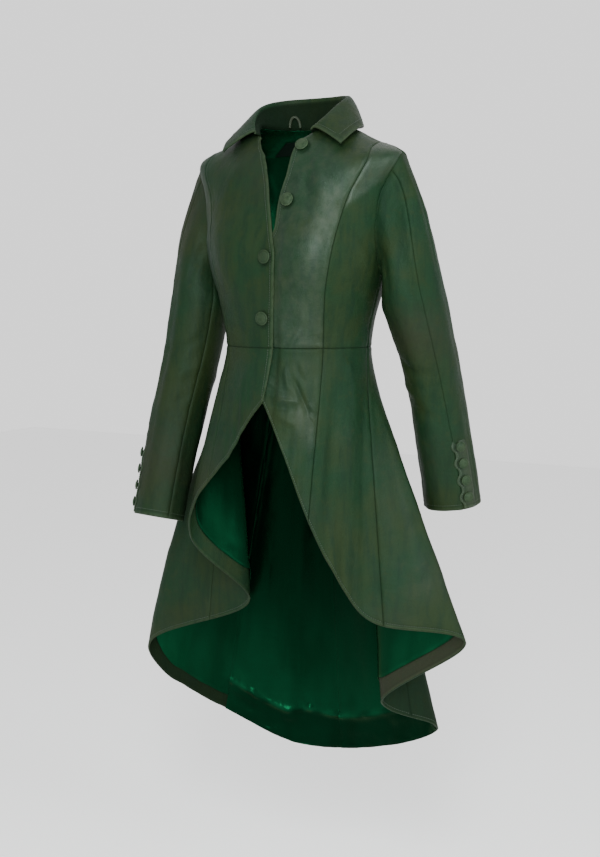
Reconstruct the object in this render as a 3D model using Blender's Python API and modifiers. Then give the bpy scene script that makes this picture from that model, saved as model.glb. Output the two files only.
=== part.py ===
"""Leather coat: a hollow coat in its worn pose, built panel by panel.

The origin is at the neck on the coat's middle line, the front faces -Y, the wearer's
left is at +X and +Z is up. Lengths are in metres and angles in degrees. Each panel is
a wall on one smooth shell. A place on the shell is an angle from the front centre
towards one side, and a level: 1 at the neck seam, 0 at the waist seam, -1 at the hem.
"""
from math import pi

import bpy
import numpy as np
from mathutils import Matrix, Vector

# Walls and gaps
LEATHER_WALL = 0.0016
SATIN_WALL = 0.0010
FACING_WALL = 0.0012
COLLAR_WALL = 0.0020
SEAM_GAP = 0.0003
FACING_GAP = 0.0010
LINING_DEPTH = LEATHER_WALL + 0.0005
LABEL_DEPTH = LINING_DEPTH + SATIN_WALL + 0.0011

# Finite steps for surface normals
ANGLE_STEP = 0.05
LEVEL_STEP = 0.0005
SLEEVE_TURN_STEP = 0.1
SLEEVE_STATION_STEP = 0.002
COLLAR_TURN_STEP = 0.2
COLLAR_STEP = 0.001

# Points with which a line is drawn before its places are chosen
FINE_POINTS = 400

# Bodice sections from the waist seam up to the neck seam
BODICE_ROWS = (
    # side_z, front_z, back_z, half_width, front, back, bust, squareness
    (-0.355, -0.355, -0.355, 0.131, 0.113, 0.088, 0.000, 2.0),
    (-0.290, -0.290, -0.290, 0.141, 0.119, 0.099, 0.002, 2.1),
    (-0.225, -0.228, -0.222, 0.160, 0.122, 0.111, 0.010, 2.2),
    (-0.175, -0.185, -0.170, 0.168, 0.120, 0.117, 0.011, 2.2),
    (-0.125, -0.145, -0.120, 0.172, 0.111, 0.117, 0.006, 2.2),
    (-0.080, -0.105, -0.072, 0.184, 0.100, 0.110, 0.002, 2.1),
    (-0.037, -0.074, -0.030, 0.194, 0.090, 0.098, 0.000, 2.1),
    (-0.016, -0.050, -0.004, 0.152, 0.082, 0.086, 0.000, 2.0),
    (0.004, -0.034, 0.010, 0.110, 0.075, 0.076, 0.000, 2.0),
    (0.020, -0.022, 0.020, 0.070, 0.068, 0.066, 0.000, 2.0),
)
BUST_ANGLE = 30.0
BUST_SPREAD = 18.0

# Hem edge of each side, from the front corner round to the back centre
LEFT_HEM_ROWS = (
    # waist_angle, out, y, z
    (0, 0.000, -0.126, -0.444),
    (25, 0.046, -0.124, -0.545),
    (44, 0.080, -0.112, -0.640),
    (75, 0.135, -0.066, -0.775),
    (90, 0.185, -0.040, -0.820),
    (104, 0.286, 0.002, -0.830),
    (115, 0.294, 0.034, -0.866),
    (130, 0.150, 0.040, -0.972),
    (148, 0.206, 0.120, -1.034),
    (180, 0.000, 0.160, -1.130),
)
RIGHT_HEM_ROWS = (
    # waist_angle, out, y, z
    (0, 0.000, -0.126, -0.444),
    (25, 0.045, -0.133, -0.505),
    (40, 0.083, -0.135, -0.560),
    (59, 0.164, -0.105, -0.690),
    (81, 0.110, -0.002, -0.828),
    (101, 0.312, -0.014, -0.916),
    (112, 0.334, 0.016, -0.972),
    (142, 0.205, 0.072, -1.060),
    (180, 0.000, 0.160, -1.130),
)
FLARE_START = {1: 0.12, -1: 0.03}

# How much fuller than a straight fall the skirt is halfway down, and where around it
BELLY = {1: 0.0, -1: 0.12}
BELLY_ANGLE = 104.0
BELLY_SPREAD = 26.0
FACING_WIDTH = 0.026
FACING_LEVEL_STEP = 0.03
HEM_BEND_LENGTH = 0.04
SKIRT_ROWS = 8

# Cut lines of each side: level, angle
FRONT_EDGE_ROWS = {
    1: ((-1.0, -1.0), (-0.5, -4.0), (0.0, -8.0), (0.24, -8.0), (0.30, -4.0), (0.35, 2.5),
        (0.40, 5.8), (0.56, 6.2), (0.64, 7.0), (0.74, 9.0), (0.85, 13.0), (0.922, 17.0),
        (1.0, 26.0)),
    -1: ((-1.0, 0.0), (-0.5, -3.0), (0.0, -5.0), (0.15, -7.0), (0.30, -7.2), (0.38, -4.5),
         (0.445, -2.5), (0.522, 0.0), (0.588, 1.5), (0.675, 3.5), (0.76, 6.5), (0.878, 13.5),
         (0.963, 29.0), (1.0, 45.0)),
}
FRONT_PRINCESS_ROWS = (
    # level, angle
    (0.0, 44.0), (0.07, 43.5), (0.16, 42.0), (0.28, 42.5), (0.47, 46.0), (0.60, 49.0),
    (0.66, 52.0), (0.70, 57.0), (0.74, 66.0), (0.76, 77.0), (0.77, 90.0),
)
BACK_PRINCESS_ROWS = (
    # level, angle
    (0.0, 142.0), (0.16, 142.0), (0.28, 140.0), (0.47, 136.0), (0.60, 131.0),
    (0.66, 128.0), (0.70, 123.0), (0.74, 114.0), (0.76, 103.0), (0.77, 90.0),
)
FRONT_SEAM_ANGLE = 44.0
SIDE_SEAM_ANGLE = 90.0
BACK_SEAM_ANGLE = 142.0
BACK_CENTRE_ANGLE = 180.0

# The left front is sunk where it lies under the right front
LAP_ROWS = (
    # level, depth, angle
    (-1.0, 0.0040, 9.0), (0.0, 0.0040, 9.0), (0.10, 0.0026, 9.0), (0.32, 0.0026, 9.0),
    (0.40, 0.0026, 8.0), (0.50, 0.0012, 4.0), (0.56, 0.0, 4.0), (1.0, 0.0, 4.0),
)
LAP_FADE = 4.0

# Armholes
ARMHOLE_FOOT = 0.205
ARMHOLE_TOP = 2.0 / 3.0
ARMHOLE_FRONT_SPREAD = 18.0
ARMHOLE_BACK_SPREAD = 25.0

# Sleeve sections below the cap: out, y, z of the middle, half size outwards and in depth
LEFT_ARM_ROWS = (
    # out, y, z, half_wide, half_deep
    (0.206, 0.026, -0.276, 0.053, 0.057),
    (0.216, 0.043, -0.335, 0.048, 0.055),
    (0.225, 0.060, -0.400, 0.046, 0.052),
    (0.233, 0.075, -0.470, 0.047, 0.050),
    (0.241, 0.090, -0.550, 0.049, 0.047),
    (0.247, 0.103, -0.626, 0.050, 0.044),
)
RIGHT_ARM_ROWS = (
    # out, y, z, half_wide, half_deep
    (0.204, -0.004, -0.278, 0.053, 0.057),
    (0.214, -0.012, -0.355, 0.051, 0.055),
    (0.223, -0.027, -0.425, 0.048, 0.052),
    (0.230, -0.048, -0.500, 0.046, 0.050),
    (0.235, -0.068, -0.575, 0.044, 0.047),
    (0.239, -0.092, -0.664, 0.042, 0.044),
)
CAP_OUT = 0.75
CAP_DROP = 0.66
CAP_START_PULL = 0.60
CAP_END_PULL = 1.15
SLEEVE_FRONT_SEAM = 150.0
SLEEVE_BACK_SEAM = 48.0
SLEEVE_STEP = 15.0
SLEEVE_TRIM = 0.3
SLEEVE_CAP_STATIONS = (0.008, 0.12, 0.28, 0.46, 0.66, 0.85, 1.0)
SLEEVE_ARM_STATIONS = (1.18, 1.36, 1.54, 1.70, 1.85, 2.0)

# Scalloped vent strip and its buttons, counted up from the sleeve edge
VENT_START = 0.001
VENT_LENGTH = 0.122
VENT_ROWS = 18
VENT_BACK_ANGLE = 20.0
VENT_EDGE_ANGLE = 50.0
VENT_SCALLOP_ANGLE = 3.5
VENT_WALL = 0.0012
VENT_LIFT = 0.0008
VENT_BUTTON_ANGLE = 36.0
CUFF_BUTTON_COUNT = 4
CUFF_BUTTON_SPACING = 0.0297
CUFF_BUTTON_FIRST = 0.020

# Collar from the back middle to the front end of each side
COLLAR_ROWS = (
    # neck_angle, roll_out, roll_y, roll_z, edge_out, edge_y, edge_z
    (180, 0.000, 0.074, 0.071, 0.000, 0.100, 0.022),
    (145, 0.048, 0.063, 0.069, 0.066, 0.088, 0.020),
    (110, 0.074, 0.026, 0.060, 0.104, 0.037, 0.016),
    (80, 0.074, -0.014, 0.041, 0.121, -0.008, 0.010),
    (60, 0.064, -0.041, 0.019, 0.121, -0.044, -0.004),
    (46, 0.053, -0.056, 0.004, 0.114, -0.066, -0.020),
)
NECK_ANGLES = {
    1: (35.0, 46.0, 53.0, 60.0, 75.0, 90.0, 105.0, 120.0, 135.0, 150.0, 165.0, 180.0),
    -1: (45.0, 52.0, 60.0, 75.0, 90.0, 105.0, 120.0, 135.0, 150.0, 165.0, 180.0),
}
COLLAR_START = {1: 46.0, -1: 45.0}
COLLAR_SHARES = {
    "collar_stand": (0.0, 0.331, 0.663, 0.994),
    "collar_fall": (1.005, 1.10, 1.22, 1.36, 1.54, 1.76, 2.0),
}
ROLL_RISE = 0.010
ROLL_OUT = 0.016
ROLL_DROP = 0.006

# Buttons: radius, profile of a covered button as share of radius and height above the cloth
FRONT_BUTTON_RADIUS = 0.0115
CUFF_BUTTON_RADIUS = 0.0090
BUTTON_SHANK = 0.30
BUTTON_PROFILE = (
    # share of radius, height
    (0.00, 0.0058), (0.60, 0.0053), (0.93, 0.0040), (1.00, 0.0027),
    (BUTTON_SHANK, 0.0021), (BUTTON_SHANK, SEAM_GAP), (0.00, SEAM_GAP),
)
BUTTON_SEGMENTS = 12
FRONT_BUTTONS = (
    # name, side, angle, level
    ("front_button_1", 1, 26.0, 0.925),
    ("front_button_2", 1, 10.8, 0.528),
    ("front_button_3", -1, -1.0, 0.275),
    ("front_button_4", -1, 1.5, 0.083),
)

# Hanger loop and label inside the back neck
LOOP_ANGLE = 144.0
LOOP_HALF_SPAN = 8.0
LOOP_LOW = 0.03
LOOP_HIGH = 0.42
LOOP_RADIUS = 0.0016
LOOP_POINTS = 11
LOOP_CLEARANCE = 0.0010
LABEL_ANGLES = (148.0, 176.0)
LABEL_LEVELS = (0.71, 0.84)
LABEL_WALL = 0.0010

SIDE_NAMES = {1: "left", -1: "right"}
HEM_ROWS = {1: LEFT_HEM_ROWS, -1: RIGHT_HEM_ROWS}
ARM_ROWS = {1: LEFT_ARM_ROWS, -1: RIGHT_ARM_ROWS}


def spline(knots, values, at):
    """Reads a natural cubic spline through rows of values at each wanted place."""
    knots = np.asarray(knots, float)
    values = np.asarray(values, float)
    at = np.asarray(at, float)
    count = len(knots)
    gap = np.diff(knots)
    slope = np.diff(values, axis=0) / gap[:, None]
    system = np.eye(count)
    bend = np.zeros_like(values)
    for i in range(1, count - 1):
        system[i, i - 1:i + 2] = gap[i - 1], 2 * (gap[i - 1] + gap[i]), gap[i]
        bend[i] = 6 * (slope[i] - slope[i - 1])
    bend = np.linalg.solve(system, bend)
    i = np.clip(np.searchsorted(knots, at) - 1, 0, count - 2)
    width = gap[i][..., None]
    low = (knots[i + 1] - at)[..., None] / width
    high = 1 - low
    curve = (low ** 3 - low) * bend[i] + (high ** 3 - high) * bend[i + 1]
    return low * values[i] + high * values[i + 1] + curve * width ** 2 / 6


def unit(vectors):
    """Scales vectors to length one."""
    return vectors / np.linalg.norm(vectors, axis=-1, keepdims=True)


def bodice_point(side, angle, level):
    """Outer face of the bodice."""
    rows = spline(np.linspace(0, 1, len(BODICE_ROWS)), BODICE_ROWS, level)
    side_z, front_z, back_z, half_width, front, back, bust, squareness = np.moveaxis(rows, -1, 0)
    sine = np.sin(np.radians(angle))
    cosine = np.cos(np.radians(angle))
    reach = (abs(sine) ** squareness + abs(cosine) ** squareness) ** (-1 / squareness)
    bust_share = np.exp(-((abs(angle) - BUST_ANGLE) / BUST_SPREAD) ** 2)
    depth = np.where(cosine > 0, front, back)
    rise = np.where(cosine > 0, front_z, back_z) - side_z
    x = side * half_width * sine * reach
    y = -depth * cosine * reach - bust * bust_share
    return np.stack([x, y, side_z + rise * cosine ** 2], -1)


def side_hem_point(side, angle):
    """Hem edge of one side; past the back centre it follows the other side's rows."""
    own = list(HEM_ROWS[side])
    beyond = [(360 - a, -out, y, z) for a, out, y, z in reversed(HEM_ROWS[-side]) if 90 < a < 180]
    rows = np.array(own + beyond, float)
    points = spline(rows[:, 0], rows[:, 1:], angle)
    return points * np.array([side, 1, 1])


def hem_point(side, angle):
    """Hem edge; an angle below 0 has crossed the front centre to the other side."""
    crossed = np.asarray(angle)[..., None] < 0
    own = side_hem_point(side, np.maximum(angle, 0))
    other = side_hem_point(-side, np.maximum(-np.asarray(angle), 0))
    return np.where(crossed, other, own)


def flare_start(side, angle):
    """How softly the skirt leaves the waist; both sides agree at the front and back centre."""
    shared = (FLARE_START[1] + FLARE_START[-1]) / 2
    return shared + (FLARE_START[side] - shared) * np.sin(np.radians(angle)) ** 2


def surface(side, angle, level):
    """Outer face of the whole coat."""
    angle, level = np.broadcast_arrays(np.asarray(angle, float), np.asarray(level, float))
    body = bodice_point(side, angle, np.maximum(level, 0))
    waist = bodice_point(side, angle, np.zeros_like(level))
    down = np.maximum(-level, 0)[..., None]
    start = flare_start(side, angle)[..., None]
    out = (np.sqrt(down ** 2 + start ** 2) - start) / (np.sqrt(1 + start ** 2) - start)
    round_side = np.exp(-((angle - BELLY_ANGLE) / BELLY_SPREAD) ** 2)[..., None]
    out = out + BELLY[side] * round_side * 4 * down * (1 - down)
    share = np.concatenate([out, out, down], -1)
    skirt = waist + (hem_point(side, angle) - waist) * share
    return np.where(level[..., None] >= 0, body, skirt)


def smooth_share(value):
    """Eases a value from 0 to 1."""
    value = np.clip(value, 0, 1)
    return value * value * (3 - 2 * value)


def shell_normal(side, angle, level):
    """Outward normal of the coat."""
    across = surface(side, angle + ANGLE_STEP, level) - surface(side, angle - ANGLE_STEP, level)
    upward = surface(side, angle, level + LEVEL_STEP) - surface(side, angle, level - LEVEL_STEP)
    return side * unit(np.cross(across, upward))


def shell(side, angle, level, depth=0.0):
    """Point of the coat, at a depth below its outer face."""
    angle = np.asarray(angle, float)
    levels, depths, angles = np.array(LAP_ROWS).T
    lap = np.interp(level, levels, depths) if side > 0 else 0.0
    reach = np.interp(level, levels, angles) + LAP_FADE
    sunk = (depth + lap * smooth_share((reach - angle) / LAP_FADE))[..., None]
    return surface(side, angle, level) - shell_normal(side, angle, level) * sunk


def new_object(name, mesh, material):
    """Adds a mesh object to the coat's collection."""
    item = bpy.data.objects.new(name, mesh)
    item.data.materials.append(material)
    bpy.data.collections["Leather coat"].objects.link(item)
    return item


def wall(name, outer, inner, material):
    """Closed wall between two grids of points."""
    rows, columns = outer.shape[:2]
    count = rows * columns
    index = np.arange(count).reshape(rows, columns)
    lower = np.stack([index[:-1, :-1], index[:-1, 1:], index[1:, 1:]], -1).reshape(-1, 3)
    upper = np.stack([index[:-1, :-1], index[1:, 1:], index[1:, :-1]], -1).reshape(-1, 3)
    front = np.concatenate([lower, upper])
    back = front[:, ::-1] + count
    edges = [index[0], index[-1, ::-1], index[::-1, 0], index[:, -1]]
    faces = np.concatenate([front, back] + [rim_faces(edge, count) for edge in edges])
    points = np.concatenate([outer.reshape(-1, 3), inner.reshape(-1, 3)])
    if wall_is_inside_out(outer, inner):
        faces = faces[:, ::-1]
    mesh = bpy.data.meshes.new(name)
    mesh.from_pydata(points.tolist(), [], faces.tolist())
    mesh.shade_smooth()
    mesh.set_sharp_from_angle(angle=pi / 6)
    return new_object(name, mesh, material)


def rim_faces(edge, count):
    """Faces that join one edge of the outer grid to the inner grid."""
    lower = np.stack([edge[1:], edge[:-1], edge[:-1] + count], -1)
    upper = np.stack([edge[1:], edge[:-1] + count, edge[1:] + count], -1)
    return np.concatenate([lower, upper])


def wall_is_inside_out(outer, inner):
    """Whether the outer grid's faces would look towards the inner grid."""
    along = outer[1:, :-1] - outer[:-1, :-1]
    across = outer[:-1, 1:] - outer[:-1, :-1]
    normal = np.cross(across, along)
    return np.sum(normal * (outer - inner)[:-1, :-1]) < 0


def evenly_spaced(side, line, count, bend_length=0.0):
    """Places along a finely drawn line, evenly spaced by its length and its bend.

    Bend length is how much each turn of one radian counts as, beside the length itself.
    """
    points = surface(side, line[:, 0], line[:, 1])
    steps = np.diff(points, axis=0)
    lengths = np.linalg.norm(steps, axis=1)
    turns = np.linalg.norm(np.diff(unit(steps), axis=0), axis=1)
    measure = lengths + bend_length * (np.pad(turns, (1, 0)) + np.pad(turns, (0, 1))) / 2
    total = np.concatenate([[0], np.cumsum(measure)])
    wanted = np.linspace(0, total[-1], count)
    return np.stack([np.interp(wanted, total, line[:, i]) for i in (0, 1)], -1)


def cut_line(side, rows, count):
    """Evenly spaced places along a cut line given as level, angle rows."""
    table = np.array(rows, float)
    levels = np.linspace(table[0, 0], table[-1, 0], FINE_POINTS)
    angles = np.interp(levels, table[:, 0], table[:, 1])
    return evenly_spaced(side, np.stack([angles, levels], -1), count)


def edge_line(rows, levels):
    """Places along a cut line at given levels."""
    table = np.array(rows, float)
    return np.stack([np.interp(levels, table[:, 0], table[:, 1]), levels], -1)


def armhole_places(turn):
    """Angle and level along the armhole; turn is 0 on the shoulder, 90 in front, 180 below."""
    turn = np.radians(turn)
    level = ARMHOLE_FOOT + (ARMHOLE_TOP - ARMHOLE_FOOT) * (1 + np.cos(turn)) / 2
    spread = np.where(np.sin(turn) > 0, ARMHOLE_FRONT_SPREAD, ARMHOLE_BACK_SPREAD)
    return np.stack([SIDE_SEAM_ANGLE - spread * np.sin(turn), level], -1)


def side_line(front):
    """Side seam up to the armhole, then half the armhole up to the shoulder."""
    seam = np.linspace(0, ARMHOLE_FOOT, 4)[:-1]
    turns = np.arange(180, -1, -SLEEVE_STEP)
    hole = armhole_places(turns if front else -turns)
    return np.concatenate([np.stack([0 * seam + SIDE_SEAM_ANGLE, seam], -1), hole])


def between(left, right, shares):
    """Grid of places on straight lines between two border lines."""
    shares = np.asarray(shares, float)[None, :, None]
    return left[:, None] * (1 - shares) + right[:, None] * shares


def trimmed(side, places, gap):
    """Draws a panel's borders in by half the gap between panels."""
    points = surface(side, places[..., 0], places[..., 1])
    result = places.copy()
    for axis in (0, 1):
        grid = np.moveaxis(points, axis, 0)
        spots = np.moveaxis(places, axis, 0)
        moved = np.moveaxis(result, axis, 0)
        for edge, inside in ((0, 1), (-1, -2)):
            step = grid[inside] - grid[edge]
            seam = unit(np.gradient(grid[edge], axis=0))
            square = step - np.sum(step * seam, -1, keepdims=True) * seam
            share = gap / 2 / np.linalg.norm(square, axis=-1, keepdims=True)
            moved[edge] += (spots[inside] - spots[edge]) * share
    return result


def panel(name, side, places, material, depth=0.0, thickness=LEATHER_WALL, gap=SEAM_GAP):
    """Wall of one cut piece, between two depths below the coat's outer face."""
    spots = trimmed(side, places, gap)
    outer = shell(side, spots[..., 0], spots[..., 1], depth)
    inner = shell(side, spots[..., 0], spots[..., 1], depth + thickness)
    return wall(name, outer, inner, material)


def neck_shares(side):
    """Columns of the front panel, which end at the collar's own angles on the neck seam."""
    start = FRONT_EDGE_ROWS[side][-1][1]
    angles = [start] + [a for a in NECK_ANGLES[side] if start < a < SIDE_SEAM_ANGLE] + [SIDE_SEAM_ANGLE]
    return (np.array(angles) - start) / (SIDE_SEAM_ANGLE - start)


def bodice_places(side):
    """Grids of places for the bodice panels of one side."""
    front_side = side_line(True)
    back_side = side_line(False)
    front_princess = cut_line(side, FRONT_PRINCESS_ROWS, len(front_side))
    back_princess = cut_line(side, BACK_PRINCESS_ROWS, len(back_side))
    shoulder = np.linspace(front_princess[-1], (SIDE_SEAM_ANGLE, 1.0), 4)[1:]
    front_outer = np.concatenate([front_princess, shoulder])
    back_outer = np.concatenate([back_princess, shoulder])
    front_edge = edge_line(FRONT_EDGE_ROWS[side], front_outer[:, 1])
    back_centre = edge_line(((0.0, BACK_CENTRE_ANGLE), (1.0, BACK_CENTRE_ANGLE)), back_outer[:, 1])
    side_shares = np.linspace(0, 1, 5)
    back_shares = np.linspace(0, 1, 7)
    return {
        "front": between(front_edge, front_outer, neck_shares(side)),
        "side_front": between(front_princess, front_side, side_shares),
        "side_back": between(back_side, back_princess, side_shares),
        "back": between(back_outer, back_centre, back_shares),
    }


def facing_share(side, angle):
    """Share of the skirt's length that the hem facing covers at an angle."""
    step = hem_point(side, angle + 1) - hem_point(side, angle - 1)
    run = surface(side, angle, FACING_LEVEL_STEP - 1.0) - surface(side, angle, -1.0)
    run = run / FACING_LEVEL_STEP
    square = run - np.sum(run * unit(step), -1, keepdims=True) * unit(step)
    return FACING_WIDTH / np.linalg.norm(square, axis=-1)


def skirt_rows(side, angles):
    """Levels of the skirt's rows at each angle; the last row but one is the facing's edge."""
    share = np.clip(facing_share(side, angles), 0.02, 0.6)
    upper = np.linspace(0, 1, SKIRT_ROWS)[:, None] * (share - 1)
    return np.concatenate([upper, np.full((1, len(angles)), -1.0)])


def skirt_places(side):
    """Grids of places for the skirt panels of one side."""
    cuts = {
        "skirt_front": (0.0, FRONT_SEAM_ANGLE, 7),
        "skirt_side_front": (FRONT_SEAM_ANGLE, SIDE_SEAM_ANGLE, 8),
        "skirt_side_back": (SIDE_SEAM_ANGLE, BACK_SEAM_ANGLE, 13),
        "skirt_back": (BACK_SEAM_ANGLE, BACK_CENTRE_ANGLE, 7),
    }
    grids = {}
    for name, (start, end, count) in cuts.items():
        fine = np.linspace(start, end, FINE_POINTS)
        hem = np.stack([fine, 0 * fine - 1], -1)
        angles = evenly_spaced(side, hem, count, HEM_BEND_LENGTH)[:, 0]
        levels = skirt_rows(side, angles)
        grid = np.stack([np.broadcast_to(angles, levels.shape), levels], -1)
        if start == 0:
            lap = np.interp(levels[:, 0], *np.array(FRONT_EDGE_ROWS[side], float).T)
            fade = 1 - angles / end
            grid[..., 0] = grid[..., 0] + lap[:, None] * fade
        grids[name] = grid
    return grids


def joined(grids):
    """Joins neighbouring grids of places that share a border column."""
    return np.concatenate([grids[0]] + [grid[:, 1:] for grid in grids[1:]], 1)


def build_body(leather, satin):
    """Bodice and skirt panels, their lining and the hem facing."""
    for side, side_name in SIDE_NAMES.items():
        bodice = bodice_places(side)
        skirt = skirt_places(side)
        for name, places in bodice.items():
            panel(f"bodice_{name}_{side_name}", side, places, leather)
        for name, places in skirt.items():
            panel(f"{name}_{side_name}", side, places, leather)
        for name in ("side_back", "back"):
            lining = f"lining_bodice_{name}_{side_name}"
            panel(lining, side, bodice[name], satin, LINING_DEPTH, SATIN_WALL)
        shaped = joined([skirt["skirt_front"], skirt["skirt_side_front"]])
        rear = skirt["skirt_side_back"]
        for name, places in (("front", shaped), ("side", rear)):
            panel(f"lining_{name}_{side_name}", side, places[:-1], satin,
                  LINING_DEPTH, SATIN_WALL, FACING_GAP)
            panel(f"facing_{name}_{side_name}", side, places[-2:], leather,
                  LINING_DEPTH, FACING_WALL, FACING_GAP)
        panel(f"lining_back_{side_name}", side, skirt["skirt_back"], satin, LINING_DEPTH, SATIN_WALL)


def arm_frame(side, station):
    """Middle, outward axis, forward axis and half sizes of the sleeve at stations 1 to 2."""
    rows = np.array(ARM_ROWS[side], float)
    rows[:, 0] *= side
    lengths = np.linalg.norm(np.diff(rows[:, :3], axis=0), axis=1)
    knots = 1 + np.concatenate([[0], np.cumsum(lengths)]) / lengths.sum()
    station = np.maximum(station, 1.0)
    here = spline(knots, rows, station)
    axis = unit(spline(knots, rows[:, :3], station + SLEEVE_STATION_STEP)
                - spline(knots, rows[:, :3], station - SLEEVE_STATION_STEP))
    outward = np.array([side, 0.0, 0.0]) - axis * (side * axis[..., :1])
    outward = unit(outward)
    forward = np.cross(axis, outward) * side
    return here[..., :3], axis, outward, forward, here[..., 3:4], here[..., 4:5]


def sleeve_point(side, turn, station):
    """Outer face of a sleeve: stations 0 to 1 are the cap, 1 to 2 the arm."""
    turn, station = np.broadcast_arrays(np.asarray(turn, float), np.asarray(station, float))
    middle, axis, outward, forward, half_wide, half_deep = arm_frame(side, station)
    cosine = np.cos(np.radians(turn))[..., None]
    sine = np.sin(np.radians(turn))[..., None]
    ring = middle + outward * half_wide * cosine + forward * half_deep * sine
    places = armhole_places(turn)
    start = surface(side, places[..., 0], places[..., 1])
    normal = shell_normal(side, places[..., 0], places[..., 1])
    leave = np.array([side * CAP_OUT, 0.0, -CAP_DROP])
    lean = np.minimum(np.sum(normal * leave, -1, keepdims=True), 0)
    leave = unit(leave - lean * normal)
    span = np.linalg.norm(ring - start, axis=-1, keepdims=True)
    t = np.clip(station, 0, 1)[..., None]
    cap = (2 * t ** 3 - 3 * t ** 2 + 1) * start + (3 * t ** 2 - 2 * t ** 3) * ring
    cap = cap + (t ** 3 - 2 * t ** 2 + t) * leave * span * CAP_START_PULL
    cap = cap + (t ** 3 - t ** 2) * axis * span * CAP_END_PULL
    return np.where(station[..., None] < 1, cap, ring)


def sleeve_normal(side, turn, station):
    """Outward normal of a sleeve."""
    around = (sleeve_point(side, turn + SLEEVE_TURN_STEP, station)
              - sleeve_point(side, turn - SLEEVE_TURN_STEP, station))
    along = (sleeve_point(side, turn, station + SLEEVE_STATION_STEP)
             - sleeve_point(side, turn, station - SLEEVE_STATION_STEP))
    return side * unit(np.cross(around, along))


def sleeve_grid(side, turns, stations, height):
    """Grid of sleeve points, at a height above its outer face."""
    turn, station = np.meshgrid(turns, stations)
    return sleeve_point(side, turn, station) + sleeve_normal(side, turn, station) * height


def build_sleeves(leather):
    """Both sleeves, each of a front and a back piece."""
    stations = np.array(SLEEVE_CAP_STATIONS + SLEEVE_ARM_STATIONS)
    pieces = {
        "front": np.arange(SLEEVE_BACK_SEAM, SLEEVE_FRONT_SEAM + 1, SLEEVE_STEP),
        "back": np.arange(SLEEVE_FRONT_SEAM, SLEEVE_BACK_SEAM + 361, SLEEVE_STEP),
    }
    for side, side_name in SIDE_NAMES.items():
        for name, turns in pieces.items():
            turns = turns.copy()
            turns[0] += SLEEVE_TRIM
            turns[-1] -= SLEEVE_TRIM
            outer = sleeve_grid(side, turns, stations, 0.0)
            inner = sleeve_grid(side, turns, stations, -LEATHER_WALL)
            wall(f"sleeve_{name}_{side_name}", outer, inner, leather)


def arm_length(side):
    """Length of the sleeve's middle line between stations 1 and 2."""
    rows = np.array(ARM_ROWS[side], float)[:, :3]
    return np.linalg.norm(np.diff(rows, axis=0), axis=1).sum()


def build_vents(leather):
    """Scalloped strip at each wrist."""
    for side, side_name in SIDE_NAMES.items():
        length = arm_length(side)
        heights = np.linspace(VENT_START, VENT_LENGTH, VENT_ROWS)
        stations = 2 - heights / length
        wave = np.cos(2 * pi * (heights - CUFF_BUTTON_FIRST) / CUFF_BUTTON_SPACING)
        edge = VENT_EDGE_ANGLE + VENT_SCALLOP_ANGLE * wave
        share = np.linspace(0, 1, 4)
        turn = VENT_BACK_ANGLE + (edge[:, None] - VENT_BACK_ANGLE) * share
        station = np.broadcast_to(stations[:, None], turn.shape)
        point = sleeve_point(side, turn, station)
        normal = sleeve_normal(side, turn, station)
        inner = point + normal * VENT_LIFT
        outer = point + normal * (VENT_LIFT + VENT_WALL)
        wall(f"vent_strip_{side_name}", outer, inner, leather)


def collar_point(angle, s):
    """Visible face of the collar; s is 0 at the neck seam, 1 at the roll and 2 at the edge.

    The angle is signed: positive on the left, negative on the right, 180 at the back.
    """
    angle, s = np.broadcast_arrays(np.asarray(angle, float), np.asarray(s, float))
    side = np.sign(angle)[..., None]
    flip = np.concatenate([side, np.ones_like(side), np.ones_like(side)], -1)
    rows = np.array([(a, *rest) for a, *rest in reversed(COLLAR_ROWS)], float)
    beyond = rows[::-1][1:3] * np.array([-1, -1, 1, 1, -1, 1, 1]) + np.array([360, 0, 0, 0, 0, 0, 0])
    rows = np.concatenate([rows, beyond])
    here = spline(rows[:, 0], rows[:, 1:], abs(angle))
    roll = here[..., :3] * flip
    edge = here[..., 3:] * flip
    seam = surface(1, abs(angle), np.ones_like(s)) * flip
    inward = -unit(seam * np.array([1.0, 1.0, 0.0]))
    seam = seam + inward * COLLAR_WALL + np.array([0, 0, 2 * SEAM_GAP])
    third = np.array([0, 0, 1.0]) * (roll[..., 2:] - seam[..., 2:]) / 3
    out = unit((edge - roll) * np.array([1.0, 1.0, 0.0]))
    over = roll + np.array([0, 0, ROLL_RISE])
    beside = roll + out * ROLL_OUT + np.array([0, 0, ROLL_DROP])
    t = np.clip(s, 0, 1)[..., None]
    stand = (1 - t) ** 3 * seam + 3 * t * (1 - t) ** 2 * (seam + third)
    stand = stand + 3 * t ** 2 * (1 - t) * (roll - third) + t ** 3 * roll
    u = np.clip(s - 1, 0, 1)[..., None]
    fall = (1 - u) ** 3 * roll + 3 * u * (1 - u) ** 2 * over + 3 * u ** 2 * (1 - u) * beside
    fall = fall + u ** 3 * edge
    return np.where(s[..., None] < 1, stand, fall)


def collar_grid(angles, shares, depth):
    """Grid of collar points, at a depth below the visible face."""
    angle, s = np.meshgrid(angles, shares)
    signed = np.where(angle > 180, angle - 360, angle)
    point = collar_point(signed, s)
    around = collar_point(signed - COLLAR_TURN_STEP, s) - collar_point(signed + COLLAR_TURN_STEP, s)
    low = np.maximum(s - COLLAR_STEP, 0.0)
    high = np.minimum(s + COLLAR_STEP, 2.0)
    along = collar_point(signed, high) - collar_point(signed, low)
    return point - unit(np.cross(around, along)) * depth


def build_collar(leather):
    """Collar stand and fall, parted at the roll line."""
    left = [angle for angle in NECK_ANGLES[1] if angle >= COLLAR_START[1]]
    right = [360 - angle for angle in reversed(NECK_ANGLES[-1][:-1]) if angle >= COLLAR_START[-1]]
    angles = np.array(left + right)
    for name, shares in COLLAR_SHARES.items():
        wall(name, collar_grid(angles, shares, 0.0), collar_grid(angles, shares, COLLAR_WALL), leather)


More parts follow.
